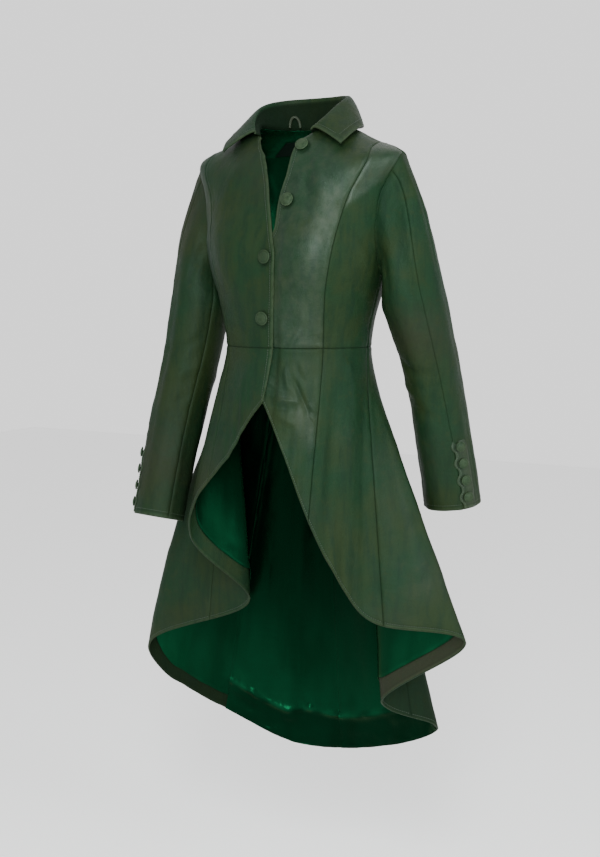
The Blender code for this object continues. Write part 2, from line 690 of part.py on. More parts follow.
def build_neck_trim(leather, cloth):
    """Hanger loop on the collar stand and the plain label under it."""
    turn = np.linspace(0, pi, LOOP_POINTS)
    angle = -(LOOP_ANGLE + LOOP_HALF_SPAN * np.cos(turn))
    share = LOOP_LOW + (LOOP_HIGH - LOOP_LOW) * np.sin(turn)
    around = (collar_point(angle - COLLAR_TURN_STEP, share)
              - collar_point(angle + COLLAR_TURN_STEP, share))
    along = collar_point(angle, share + COLLAR_STEP) - collar_point(angle, share)
    normal = unit(np.cross(around, along))
    points = collar_point(angle, share) + normal * (LOOP_RADIUS + LOOP_CLEARANCE)
    curve = bpy.data.curves.new("Hanger loop", "CURVE")
    curve.dimensions = "3D"
    route = curve.splines.new("POLY")
    route.points.add(len(points) - 1)
    for spot, point in zip(route.points, points):
        spot.co = (*point, 1.0)
    curve.bevel_depth = LOOP_RADIUS
    curve.bevel_resolution = 1
    curve.use_fill_caps = True
    new_object("hanger_loop", curve, leather)
    angles = np.linspace(*LABEL_ANGLES, 5)
    levels = np.linspace(*LABEL_LEVELS, 3)
    places = np.stack(np.meshgrid(angles, levels), -1)
    panel("neck_label", -1, places, cloth, LABEL_DEPTH, LABEL_WALL)


def button_mesh(name, radius):
    """Half section of a covered button, to be turned about its axis."""
    mesh = bpy.data.meshes.new(name)
    points = [(share * radius, 0.0, height) for share, height in BUTTON_PROFILE]
    edges = [(i, i + 1) for i in range(len(points) - 1)]
    mesh.from_pydata(points, edges, [])
    return mesh


def add_button(name, mesh, material, point, normal):
    """One covered button, standing on the cloth at a point."""
    item = new_object(name, mesh, material)
    turned = item.modifiers.new("Turned", "SCREW")
    turned.steps = BUTTON_SEGMENTS
    turned.render_steps = BUTTON_SEGMENTS
    turned.use_merge_vertices = True
    turned.merge_threshold = 0.00001
    facing = Vector(normal).to_track_quat("Z", "Y").to_matrix().to_4x4()
    item.matrix_world = Matrix.Translation(Vector(point)) @ facing
    return item


def build_buttons(leather):
    """Front buttons and the buttons of both wrists."""
    mesh = button_mesh("Front button", FRONT_BUTTON_RADIUS)
    for name, side, angle, level in FRONT_BUTTONS:
        front = bpy.data.objects[f"bodice_front_{SIDE_NAMES[side]}"]
        point = Vector(shell(side, np.array(angle), np.array(level)))
        normal = shell_normal(side, np.array(angle), np.array(level))
        _, seat, _, _ = front.closest_point_on_mesh(point)
        add_button(name, mesh, leather, seat, normal)
    mesh = button_mesh("Cuff button", CUFF_BUTTON_RADIUS)
    for side, side_name in SIDE_NAMES.items():
        strip = bpy.data.objects[f"vent_strip_{side_name}"]
        for i in range(CUFF_BUTTON_COUNT):
            height = CUFF_BUTTON_FIRST + i * CUFF_BUTTON_SPACING
            station = 2 - height / arm_length(side)
            point = sleeve_point(side, VENT_BUTTON_ANGLE, station)
            outward = sleeve_normal(side, VENT_BUTTON_ANGLE, station)
            point = Vector(point + outward * (VENT_LIFT + 2 * VENT_WALL))
            _, seat, normal, _ = strip.closest_point_on_mesh(point)
            add_button(f"cuff_button_{side_name}_{i + 1}", mesh, leather, seat, normal)


def material(name, colour, roughness):
    """Principled material of one kind of cloth."""
    result = bpy.data.materials.new(name)
    result.use_nodes = True
    shader = result.node_tree.nodes["Principled BSDF"]
    shader.inputs["Base Color"].default_value = (*colour, 1.0)
    shader.inputs["Roughness"].default_value = roughness
    shader.inputs["Metallic"].default_value = 0.0
    result.diffuse_color = (*colour, 1.0)
    return result


def main():
    """Builds the coat in an empty scene."""
    for item in list(bpy.data.objects):
        bpy.data.objects.remove(item)
    collection = bpy.data.collections.new("Leather coat")
    bpy.context.scene.collection.children.link(collection)
    leather = material("Green leather", (0.030, 0.058, 0.029), 0.42)
    satin = material("Green satin", (0.004, 0.062, 0.028), 0.30)
    label = material("Label cloth", (0.008, 0.009, 0.008), 0.60)
    build_body(leather, satin)
    build_sleeves(leather)
    build_vents(leather)
    build_collar(leather)
    build_neck_trim(leather, label)
    build_buttons(leather)


main()
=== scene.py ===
"""Dresses the green leather coat: creased leather shells with sewn seams, satin lining,
covered buttons, topstitching, and the plain studio that shows them.

Lengths are in metres and angles in degrees. The front faces -Y and the wearer's left is
at +X. A place on the coat is an angle from the front centre towards one side, and a
level: 1 at the neck seam, 0 at the waist seam, -1 at the hem.
"""
from __future__ import annotations

import logging
from dataclasses import dataclass, field
from enum import Enum
from typing import Iterable, Sequence

import bpy
import numpy as np
from mathutils import Matrix, Vector


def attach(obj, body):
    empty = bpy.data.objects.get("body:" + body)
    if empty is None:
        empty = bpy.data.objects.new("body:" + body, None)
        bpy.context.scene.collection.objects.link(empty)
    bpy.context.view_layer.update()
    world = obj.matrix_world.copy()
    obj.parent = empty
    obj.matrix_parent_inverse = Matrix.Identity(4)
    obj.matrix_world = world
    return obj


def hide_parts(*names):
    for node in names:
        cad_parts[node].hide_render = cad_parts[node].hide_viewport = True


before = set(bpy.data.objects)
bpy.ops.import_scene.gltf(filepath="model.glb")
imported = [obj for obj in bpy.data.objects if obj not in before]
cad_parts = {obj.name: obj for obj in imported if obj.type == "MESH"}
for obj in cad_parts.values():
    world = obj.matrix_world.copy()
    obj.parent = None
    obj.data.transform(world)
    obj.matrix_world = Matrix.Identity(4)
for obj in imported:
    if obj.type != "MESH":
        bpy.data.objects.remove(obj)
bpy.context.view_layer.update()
LOG = logging.getLogger("leather_coat")

LEFT = 1
RIGHT = -1
SIDE_NAMES = {LEFT: "left", RIGHT: "right"}

# Bodice sections from the waist seam up to the neck seam
BODICE_ROWS = (
    # side_z, front_z, back_z, half_width, front, back, bust, squareness
    (-0.355, -0.355, -0.355, 0.131, 0.113, 0.088, 0.000, 2.0),
    (-0.290, -0.290, -0.290, 0.141, 0.119, 0.099, 0.002, 2.1),
    (-0.225, -0.228, -0.222, 0.160, 0.122, 0.111, 0.010, 2.2),
    (-0.175, -0.185, -0.170, 0.168, 0.120, 0.117, 0.011, 2.2),
    (-0.125, -0.145, -0.120, 0.172, 0.111, 0.117, 0.006, 2.2),
    (-0.080, -0.105, -0.072, 0.184, 0.100, 0.110, 0.002, 2.1),
    (-0.037, -0.074, -0.030, 0.194, 0.090, 0.098, 0.000, 2.1),
    (-0.016, -0.050, -0.004, 0.152, 0.082, 0.086, 0.000, 2.0),
    (0.004, -0.034, 0.010, 0.110, 0.075, 0.076, 0.000, 2.0),
    (0.020, -0.022, 0.020, 0.070, 0.068, 0.066, 0.000, 2.0),
)

# Hem edge of each side, from the front corner round to the back centre
HEM_ROWS = {
    LEFT: (
        # waist_angle, out, y, z
        (0, 0.000, -0.126, -0.444),
        (25, 0.046, -0.124, -0.545),
        (44, 0.080, -0.112, -0.640),
        (75, 0.135, -0.066, -0.775),
        (90, 0.185, -0.040, -0.820),
        (104, 0.286, 0.002, -0.830),
        (115, 0.294, 0.034, -0.866),
        (130, 0.150, 0.040, -0.972),
        (148, 0.206, 0.120, -1.034),
        (180, 0.000, 0.160, -1.130),
    ),
    RIGHT: (
        # waist_angle, out, y, z
        (0, 0.000, -0.126, -0.444),
        (25, 0.045, -0.133, -0.505),
        (40, 0.083, -0.135, -0.560),
        (59, 0.164, -0.105, -0.690),
        (81, 0.110, -0.002, -0.828),
        (101, 0.312, -0.014, -0.916),
        (112, 0.334, 0.016, -0.972),
        (142, 0.205, 0.072, -1.060),
        (180, 0.000, 0.160, -1.130),
    ),
}

# Cut lines of each side: level, angle
FRONT_EDGE_ROWS = {
    LEFT: ((-1.0, -1.0), (-0.5, -4.0), (0.0, -8.0), (0.24, -8.0), (0.30, -4.0), (0.35, 2.5),
           (0.40, 5.8), (0.56, 6.2), (0.64, 7.0), (0.74, 9.0), (0.85, 13.0), (0.922, 17.0),
           (1.0, 26.0)),
    RIGHT: ((-1.0, 0.0), (-0.5, -3.0), (0.0, -5.0), (0.15, -7.0), (0.30, -7.2), (0.38, -4.5),
            (0.445, -2.5), (0.522, 0.0), (0.588, 1.5), (0.675, 3.5), (0.76, 6.5), (0.878, 13.5),
            (0.963, 29.0), (1.0, 45.0)),
}
FRONT_PRINCESS_ROWS = (
    # level, angle
    (0.0, 44.0), (0.07, 43.5), (0.16, 42.0), (0.28, 42.5), (0.47, 46.0), (0.60, 49.0),
    (0.66, 52.0), (0.70, 57.0), (0.74, 66.0), (0.76, 77.0), (0.77, 90.0),
)
BACK_PRINCESS_ROWS = (
    # level, angle
    (0.0, 142.0), (0.16, 142.0), (0.28, 140.0), (0.47, 136.0), (0.60, 131.0),
    (0.66, 128.0), (0.70, 123.0), (0.74, 114.0), (0.76, 103.0), (0.77, 90.0),
)
SKIRT_CUTS = {
    # name: start angle, end angle, columns
    "skirt_front": (0.0, 44.0, 40),
    "skirt_side_front": (44.0, 90.0, 44),
    "skirt_side_back": (90.0, 142.0, 80),
    "skirt_back": (142.0, 180.0, 44),
}

# The left front is sunk where it lies under the right front
LAP_ROWS = (
    # level, depth, angle
    (-1.0, 0.0040, 9.0), (0.0, 0.0040, 9.0), (0.10, 0.0026, 9.0), (0.32, 0.0026, 9.0),
    (0.40, 0.0026, 8.0), (0.50, 0.0012, 4.0), (0.56, 0.0, 4.0), (1.0, 0.0, 4.0),
)

# Sleeve sections below the cap
ARM_ROWS = {
    LEFT: (
        # out, y, z, half_wide, half_deep
        (0.206, 0.026, -0.276, 0.053, 0.057),
        (0.216, 0.043, -0.335, 0.048, 0.055),
        (0.225, 0.060, -0.400, 0.046, 0.052),
        (0.233, 0.075, -0.470, 0.047, 0.050),
        (0.241, 0.090, -0.550, 0.049, 0.047),
        (0.247, 0.103, -0.626, 0.050, 0.044),
    ),
    RIGHT: (
        # out, y, z, half_wide, half_deep
        (0.204, -0.004, -0.278, 0.053, 0.057),
        (0.214, -0.012, -0.355, 0.051, 0.055),
        (0.223, -0.027, -0.425, 0.048, 0.052),
        (0.230, -0.048, -0.500, 0.046, 0.050),
        (0.235, -0.068, -0.575, 0.044, 0.047),
        (0.239, -0.092, -0.664, 0.042, 0.044),
    ),
}

# Collar from the back middle to the front end of each side
COLLAR_ROWS = (
    # neck_angle, roll_out, roll_y, roll_z, edge_out, edge_y, edge_z
    (180, 0.000, 0.074, 0.071, 0.000, 0.100, 0.022),
    (145, 0.048, 0.063, 0.069, 0.066, 0.088, 0.020),
    (110, 0.074, 0.026, 0.060, 0.104, 0.037, 0.016),
    (80, 0.074, -0.014, 0.041, 0.121, -0.008, 0.010),
    (60, 0.064, -0.041, 0.019, 0.121, -0.044, -0.004),
    (46, 0.053, -0.056, 0.004, 0.114, -0.066, -0.020),
)

FRONT_BUTTON_RADIUS = 0.0115
FRONT_BUTTONS = (
    # node, side, angle, level, how much lighter the top is (partly wear, partly painted highlight)
    ("front_button_1", LEFT, 26.0, 0.925, 0.95),
    ("front_button_2", LEFT, 10.8, 0.528, 0.95),
    ("front_button_3", RIGHT, -1.0, 0.275, 0.30),
    ("front_button_4", RIGHT, 1.5, 0.083, 0.50),
)

# Distances from a border at which every panel has a line of points; the topstitch runs on one
BORDER_OFFSETS = (0.0, 0.0005, 0.0012, 0.0022, 0.0038, 0.0060, 0.0090)
STITCH_LINE = 5


def spline(knots: Sequence[float], values: np.ndarray, at: np.ndarray) -> np.ndarray:
    """Reads a natural cubic spline.

    Formula: between two knots, the straight line between their values plus the cubic
    whose second derivatives there solve the usual system of equal slopes.

    Args:
        knots: Growing knot positions.
        values: A row of values for each knot.
        at: Positions to read.

    Returns:
        A row of values for each position.
    """
    knots = np.asarray(knots, float)
    values = np.asarray(values, float)
    at = np.asarray(at, float)
    count = len(knots)
    gap = np.diff(knots)
    slope = np.diff(values, axis=0) / gap[:, None]
    system = np.eye(count)
    bend = np.zeros_like(values)
    for i in range(1, count - 1):
        system[i, i - 1:i + 2] = gap[i - 1], 2 * (gap[i - 1] + gap[i]), gap[i]
        bend[i] = 6 * (slope[i] - slope[i - 1])
    bend = np.linalg.solve(system, bend)
    i = np.clip(np.searchsorted(knots, at) - 1, 0, count - 2)
    width = gap[i][..., None]
    low = (knots[i + 1] - at)[..., None] / width
    high = 1 - low
    curve = (low ** 3 - low) * bend[i] + (high ** 3 - high) * bend[i + 1]
    return low * values[i] + high * values[i + 1] + curve * width ** 2 / 6


def unit(vectors: np.ndarray) -> np.ndarray:
    """Scales vectors to length one."""
    return vectors / np.maximum(np.linalg.norm(vectors, axis=-1, keepdims=True), 1e-12)


def ease(value: np.ndarray) -> np.ndarray:
    """Eases a value from 0 to 1: three times its square less twice its cube."""
    value = np.clip(value, 0, 1)
    return value * value * (3 - 2 * value)


def bump(distance: np.ndarray, width: float) -> np.ndarray:
    """Bell curve: e to the minus square of the distance in widths."""
    return np.exp(-(distance / width) ** 2)


def lattice_noise(points: np.ndarray, seed: int) -> np.ndarray:
    """Smooth noise from -1 to 1 that changes over about one unit.

    Formula: each corner of the unit lattice has a value hashed from its whole numbers,
    and a point takes the eased mean of its cell's corners.

    Args:
        points: Positions, with 2 or 3 numbers each.
        seed: Chooses the field.

    Returns:
        One value for each position.
    """
    floor = np.floor(points).astype(np.int64)
    inside = ease(points - floor)
    dims = points.shape[-1]
    primes = np.array([73856093, 19349663, 83492791])[:dims]
    total = np.zeros(points.shape[:-1])
    for corner in np.ndindex(*(2,) * dims):
        offset = np.array(corner)
        mixed = np.sum((floor + offset) * primes, -1) + seed * 2654435761
        mixed = (mixed ^ (mixed >> 13)) * 1274126177 & 0x7FFFFFFF
        mixed = (mixed ^ (mixed >> 15)) * 668265263 & 0x7FFFFFFF
        value = (mixed % 65521) / 32760.0 - 1.0
        weight = np.prod(np.where(offset == 1, inside, 1 - inside), -1)
        total = total + value * weight
    return total


def run_length(points: np.ndarray) -> np.ndarray:
    """Length from a line's first point to each of its points."""
    steps = np.linalg.norm(np.diff(points, axis=0), axis=1)
    return np.concatenate([[0], np.cumsum(steps)])


def read_line(wanted: np.ndarray, total: np.ndarray, values: np.ndarray) -> np.ndarray:
    """Reads a line's values at the lengths wanted.

    Args:
        wanted: Lengths along the line.
        total: Length at each of its points.
        values: A row of values for each point.

    Returns:
        A row of values for each length wanted.
    """
    return np.stack([np.interp(wanted, total, column) for column in values.T], -1)


def tube_faces(rings: int, sides: int) -> np.ndarray:
    """Four-cornered faces between closed rings of points."""
    index = np.arange(rings * sides).reshape(rings, sides)
    after = np.roll(index, -1, axis=1)
    return np.stack([index[:-1], after[:-1], after[1:], index[1:]], -1).reshape(-1, 4)


def graded(base: np.ndarray, span: np.ndarray) -> np.ndarray:
    """Shares from 0 to 1 with lines at the border offsets from both ends.

    Args:
        base: Shares of the lines in between, from 0 to 1.
        span: Real length that the share runs over, one for each line across.

    Returns:
        One row for each share and one column for each span.
    """
    near = np.array(BORDER_OFFSETS)[:, None] / span[None]
    near = near * np.minimum(1.0, 0.3 / near[-1])[None]
    middle = near[-1] + base[1:-1, None] * (1 - 2 * near[-1])
    return np.concatenate([near, middle, 1 - near[::-1]])


@dataclass(frozen=True)
class CoatForm:
    """The coat's smooth form, as its solids have it."""

    bust_angle: float = 30.0
    bust_spread: float = 18.0
    flare_left: float = 0.12
    flare_right: float = 0.03
    lap_fade: float = 4.0
    belly_right: float = 0.12
    belly_angle: float = 104.0
    belly_spread: float = 26.0
    armhole_foot: float = 0.205
    armhole_top: float = 2.0 / 3.0
    armhole_front_spread: float = 18.0
    armhole_back_spread: float = 25.0
    cap_out: float = 0.75
    cap_drop: float = 0.66
    cap_start_pull: float = 0.60
    cap_end_pull: float = 1.15
    collar_wall: float = 0.0020
    roll_rise: float = 0.010
    roll_out: float = 0.016
    roll_drop: float = 0.006
    angle_step: float = 0.05
    level_step: float = 5e-4
    first_station: float = 0.004

    def bodice(self, side: int, angle: np.ndarray, level: np.ndarray) -> np.ndarray:
        """Outer face of the bodice: rings whose width, depth and bust the table gives."""
        rows = spline(np.linspace(0, 1, len(BODICE_ROWS)), np.array(BODICE_ROWS), level)
        side_z, front_z, back_z, wide, front, back, bust, square = np.moveaxis(rows, -1, 0)
        sine = np.sin(np.radians(angle))
        cosine = np.cos(np.radians(angle))
        reach = (abs(sine) ** square + abs(cosine) ** square) ** (-1 / square)
        crown = np.exp(-((abs(angle) - self.bust_angle) / self.bust_spread) ** 2)
        depth = np.where(cosine > 0, front, back)
        rise = np.where(cosine > 0, front_z, back_z) - side_z
        x = side * wide * sine * reach
        y = -depth * cosine * reach - bust * crown
        return np.stack([x, y, side_z + rise * cosine ** 2], -1)

    def side_hem(self, side: int, angle: np.ndarray) -> np.ndarray:
        """Hem edge of one side: the spline through its rows and on to the other side."""
        own = list(HEM_ROWS[side])
        other = reversed(HEM_ROWS[-side])
        beyond = [(360 - turn, -out, y, z) for turn, out, y, z in other if 90 < turn < 180]
        rows = np.array(own + beyond, float)
        return spline(rows[:, 0], rows[:, 1:], angle) * np.array([side, 1, 1])

    def hem(self, side: int, angle: np.ndarray) -> np.ndarray:
        """Hem edge; an angle below 0 has crossed the front centre."""
        angle = np.asarray(angle, float)
        own = self.side_hem(side, np.maximum(angle, 0))
        other = self.side_hem(-side, np.maximum(-angle, 0))
        return np.where(angle[..., None] < 0, other, own)

    def surface(self, side: int, angle: np.ndarray, level: np.ndarray) -> np.ndarray:
        """Outer face of the coat: bodice rings above the waist, and below it lines that
        leave the waist softly and run to the hem."""
        angle, level = np.broadcast_arrays(np.asarray(angle, float), np.asarray(level, float))
        body = self.bodice(side, angle, np.maximum(level, 0))
        waist = self.bodice(side, angle, np.zeros_like(level))
        down = np.maximum(-level, 0)[..., None]
        own = self.flare_left if side == LEFT else self.flare_right
        shared = (self.flare_left + self.flare_right) / 2
        start = (shared + (own - shared) * np.sin(np.radians(angle)) ** 2)[..., None]
        out = (np.sqrt(down ** 2 + start ** 2) - start) / (np.sqrt(1 + start ** 2) - start)
        if side == RIGHT:
            round_side = bump(angle - self.belly_angle, self.belly_spread)[..., None]
            out = out + self.belly_right * round_side * 4 * down * (1 - down)
        share = np.concatenate([out, out, down], -1)
        skirt = waist + (self.hem(side, angle) - waist) * share
        return np.where(level[..., None] >= 0, body, skirt)

    def normal(self, side: int, angle: np.ndarray, level: np.ndarray) -> np.ndarray:
        """Outward normal: the cross product of the small steps around and upward."""
        turn, rise = self.angle_step, self.level_step
        around = self.surface(side, angle + turn, level) - self.surface(side, angle - turn, level)
        upward = self.surface(side, angle, level + rise) - self.surface(side, angle, level - rise)
        return side * unit(np.cross(around, upward))

    def lap(self, side: int, angle: np.ndarray, level: np.ndarray) -> np.ndarray:
        """Depth to which a left panel is sunk under the right front."""
        if side == RIGHT:
            return np.zeros(np.broadcast(angle, level).shape)
        levels, depths, angles = np.array(LAP_ROWS).T
        reach = np.interp(level, levels, angles) + self.lap_fade
        return np.interp(level, levels, depths) * ease((reach - angle) / self.lap_fade)

    def armhole(self, turn: np.ndarray) -> np.ndarray:
        """Place on the armhole; turn is 0 on the shoulder, 90 in front and 180 below."""
        turn = np.radians(turn)
        level = self.armhole_foot + (self.armhole_top - self.armhole_foot) * (1 + np.cos(turn)) / 2
        spread = np.where(np.sin(turn) > 0, self.armhole_front_spread, self.armhole_back_spread)
        return np.stack([90.0 - spread * np.sin(turn), level], -1)

    def arm_frame(self, side: int, station: np.ndarray) -> tuple[np.ndarray, ...]:
        """Middle, axis, outward and forward directions and half sizes of the sleeve."""
        rows = np.array(ARM_ROWS[side], float)
        rows[:, 0] *= side
        lengths = np.linalg.norm(np.diff(rows[:, :3], axis=0), axis=1)
        knots = 1 + np.concatenate([[0], np.cumsum(lengths)]) / lengths.sum()
        station = np.maximum(station, 1.0)
        here = spline(knots, rows, station)
        after = spline(knots, rows[:, :3], station + 1e-3)
        before = spline(knots, rows[:, :3], station - 1e-3)
        axis = unit(after - before)
        outward = unit(np.array([side, 0.0, 0.0]) - axis * (side * axis[..., :1]))
        forward = np.cross(axis, outward) * side
        return here[..., :3], axis, outward, forward, here[..., 3:4], here[..., 4:5]

    def arm_length(self, side: int) -> float:
        """Length of the sleeve's middle line below the cap."""
        rows = np.array(ARM_ROWS[side], float)[:, :3]
        return float(np.linalg.norm(np.diff(rows, axis=0), axis=1).sum())

    def sleeve(self, side: int, turn: np.ndarray, station: np.ndarray) -> np.ndarray:
        """Outer face of a sleeve: oval rings along the arm from station 1 to 2, and above
        them cubic curves that leave the armhole and arrive along the arm."""
        turn, station = np.broadcast_arrays(np.asarray(turn, float), np.asarray(station, float))
        middle, axis, outward, forward, wide, deep = self.arm_frame(side, station)
        cosine = np.cos(np.radians(turn))[..., None]
        sine = np.sin(np.radians(turn))[..., None]
        ring = middle + outward * wide * cosine + forward * deep * sine
        places = self.armhole(turn)
        start = self.surface(side, places[..., 0], places[..., 1])
        normal = self.normal(side, places[..., 0], places[..., 1])
        leave = np.array([side * self.cap_out, 0.0, -self.cap_drop])
        lean = np.minimum(np.sum(normal * leave, -1, keepdims=True), 0)
        leave = unit(leave - lean * normal)
        span = np.linalg.norm(ring - start, axis=-1, keepdims=True)
        t = np.clip(station, 0, 1)[..., None]
        cap = (2 * t ** 3 - 3 * t ** 2 + 1) * start + (3 * t ** 2 - 2 * t ** 3) * ring
        cap = cap + (t ** 3 - 2 * t ** 2 + t) * leave * span * self.cap_start_pull
        cap = cap + (t ** 3 - t ** 2) * axis * span * self.cap_end_pull
        return np.where(station[..., None] < 1, cap, ring)

    def sleeve_normal(self, side: int, turn: np.ndarray, station: np.ndarray) -> np.ndarray:
        """Outward normal of a sleeve."""
        station = np.maximum(station, self.first_station)
        around = self.sleeve(side, turn + 0.1, station) - self.sleeve(side, turn - 0.1, station)
        along = self.sleeve(side, turn, station + 2e-3) - self.sleeve(side, turn, station - 2e-3)
        return side * unit(np.cross(around, along))

    def collar(self, angle: np.ndarray, s: np.ndarray) -> np.ndarray:
        """Visible face of the collar: cubic curves from the neck seam, s 0, up to the roll,
        s 1, and over it down to the edge, s 2. Angles are positive on the left, negative
        on the right and 180 at the back."""
        angle, s = np.broadcast_arrays(np.asarray(angle, float), np.asarray(s, float))
        side = np.sign(angle)[..., None]
        flip = np.concatenate([side, np.ones_like(side), np.ones_like(side)], -1)
        rows = np.array(COLLAR_ROWS, float)[::-1]
        beyond = rows[::-1][1:3] * np.array([-1, -1, 1, 1, -1, 1, 1])
        beyond[:, 0] += 360
        rows = np.concatenate([rows, beyond])
        here = spline(rows[:, 0], rows[:, 1:], abs(angle))
        roll = here[..., :3] * flip
        edge = here[..., 3:] * flip
        seam = self.surface(LEFT, abs(angle), np.ones_like(s)) * flip
        seam = seam - unit(seam * np.array([1.0, 1.0, 0.0])) * self.collar_wall
        third = np.array([0, 0, 1.0]) * (roll[..., 2:] - seam[..., 2:]) / 3
        out = unit((edge - roll) * np.array([1.0, 1.0, 0.0]))
        over = roll + np.array([0, 0, self.roll_rise])
        beside = roll + out * self.roll_out + np.array([0, 0, self.roll_drop])
        t = np.clip(s, 0, 1)[..., None]
        stand = (1 - t) ** 3 * seam + 3 * t * (1 - t) ** 2 * (seam + third)
        stand = stand + 3 * t ** 2 * (1 - t) * (roll - third) + t ** 3 * roll
        u = np.clip(s - 1, 0, 1)[..., None]
        fall = (1 - u) ** 3 * roll + 3 * u * (1 - u) ** 2 * over + 3 * u ** 2 * (1 - u) * beside
        fall = fall + u ** 3 * edge
        return np.where(s[..., None] < 1, stand, fall)

    def collar_normal(self, angle: np.ndarray, s: np.ndarray) -> np.ndarray:
        """Normal of the collar's visible face."""
        around = self.collar(angle - 0.2, s) - self.collar(angle + 0.2, s)
        low = np.maximum(s - 1e-3, 0.0)
        high = np.minimum(s + 1e-3, 2.0)
        return unit(np.cross(around, self.collar(angle, high) - self.collar(angle, low)))


FORM = CoatForm()


@dataclass(frozen=True)
class Crease:
    """A soft trough or ridge placed along a short line of places."""

    side: int
    line: tuple[tuple[float, float], ...]
    depth: float
    width: float

    def track(self, on_sleeve: bool) -> np.ndarray:
        """Points along the crease: a spline through its places, put on the form."""
        count = len(self.line)
        places = spline(np.arange(count), np.array(self.line), np.linspace(0, count - 1, 48))
        locate = FORM.sleeve if on_sleeve else FORM.surface
        return locate(self.side, places[:, 0], places[:, 1])

    def height(self, points: np.ndarray, on_sleeve: bool) -> np.ndarray:
        """Height that it adds: its depth times a bell across it and a soft fade along it."""
        track = self.track(on_sleeve)
        flat = points.reshape(-1, 3)
        near = np.linalg.norm(flat - track.mean(0), axis=-1)
        reach = np.linalg.norm(track - track.mean(0), axis=-1).max() + 3 * self.width
        result = np.zeros(len(flat))
        chosen = np.flatnonzero(near < reach)
        if len(chosen) == 0:
            return result.reshape(points.shape[:-1])
        gaps = np.linalg.norm(flat[chosen, None] - track[None], axis=-1)
        nearest = gaps.argmin(1)
        fade = np.sin(np.pi * np.clip((nearest + 0.5) / len(track), 0, 1)) ** 0.7
        result[chosen] = self.depth * bump(gaps[np.arange(len(chosen)), nearest], self.width) * fade
        return result.reshape(points.shape[:-1])


class Cloth(Enum):
    """What a piece is made of: the record's slot of its finish."""

    LEATHER = "leather"
    SATIN = "satin"


class ShaderTree:
    """A material's nodes, made by one method and joined by plain expressions."""

    def __init__(self, name: str) -> None:
        """Starts a material with a Principled shader."""
        self.material = bpy.data.materials.new(name)
        self.material.use_nodes = True
        self.tree = self.material.node_tree
        self.shader = self.tree.nodes["Principled BSDF"]

    def node(self, kind: str, settings: dict | None = None, inputs: dict | None = None,
             output: int | str = 0) -> "Signal":
        """Adds a node.

        Args:
            kind: The node's type without its ShaderNode prefix.
            settings: Its own settings, set first.
            inputs: Values or signals of its sockets, by name or number.
            output: The output socket that is wanted.

        Returns:
            That output as a signal.
        """
        made = self.tree.nodes.new("ShaderNode" + kind)
        for key, value in (settings or {}).items():
            setattr(made, key, value)
        for key, value in (inputs or {}).items():
            self.plug(made.inputs[key], value)
        return Signal(self, made.outputs[output])

    def plug(self, socket: bpy.types.NodeSocket, value: "Signal | float | tuple") -> None:
        """Links a signal to a socket, or sets the socket's own value."""
        if isinstance(value, Signal):
            self.tree.links.new(value.socket, socket)
        else:
            socket.default_value = value

    def set(self, **values: "Signal | float | tuple") -> None:
        """Sets the Principled shader's sockets, named with _ for a space."""
        for name, value in values.items():
            self.plug(self.shader.inputs[name.replace("_", " ")], value)

    def coordinates(self, scale: tuple[float, float, float] = (1, 1, 1)) -> "Signal":
        """The piece's own coordinates, scaled."""
        place = self.node("TexCoord", output="Object")
        return self.node("Mapping", inputs={"Vector": place, "Scale": scale})

    def attribute(self, name: str) -> "Signal":
        """A value stored on the piece's points."""
        return self.node("Attribute", {"attribute_name": name}, output="Fac")

    def noise(self, where: "Signal", scale: float, detail: float = 2.0, roughness: float = 0.5,
              distortion: float = 0.0) -> "Signal":
        """Cloudy noise from 0 to 1."""
        inputs = {"Vector": where, "Scale": scale, "Detail": detail, "Roughness": roughness,
                  "Distortion": distortion}
        return self.node("TexNoise", inputs=inputs)

    def mix(self, share: "Signal | float", first: "Signal | tuple",
            second: "Signal | tuple") -> "Signal":
        """Blends two colours."""
        made = self.node("Mix", {"data_type": "RGBA"}, {0: share}, output=2)
        sockets = made.socket.node.inputs
        for socket, value in ((sockets[6], first), (sockets[7], second)):
            self.plug(socket, value if isinstance(value, Signal) else (*value, 1.0))
        return made

    def relief(self, height: "Signal", distance: float, strength: float = 1.0,
               below: "Signal | None" = None) -> "Signal":
        """A bumped normal."""
        inputs = {"Height": height, "Distance": distance, "Strength": strength}
        if below is not None:
            inputs["Normal"] = below
        return self.node("Bump", inputs=inputs)


class Signal:
    """A shader value on which sums are written as plain expressions."""

    def __init__(self, tree: ShaderTree, socket: bpy.types.NodeSocket) -> None:
        """Wraps an output socket."""
        self.tree = tree
        self.socket = socket

    def _math(self, operation: str, first: "Signal | float",
              second: "Signal | float") -> "Signal":
        """Adds a Math node."""
        return self.tree.node("Math", {"operation": operation}, {0: first, 1: second})

    def __add__(self, other: "Signal | float") -> "Signal":
        """Sum."""
        return self._math("ADD", self, other)

    __radd__ = __add__

    def __sub__(self, other: "Signal | float") -> "Signal":
        """Difference."""
        return self._math("SUBTRACT", self, other)

    def __rsub__(self, other: "Signal | float") -> "Signal":
        """Difference from a value."""
        return self._math("SUBTRACT", other, self)

    def __mul__(self, other: "Signal | float") -> "Signal":
        """Product."""
        return self._math("MULTIPLY", self, other)

    __rmul__ = __mul__

    def between(self, low: float, high: float) -> "Signal":
        """Eased share of the way from one value to another."""
        inputs = {"Value": self, 1: low, 2: high, 3: 0.0, 4: 1.0}
        return self.tree.node("MapRange", {"interpolation_type": "SMOOTHSTEP"}, inputs)


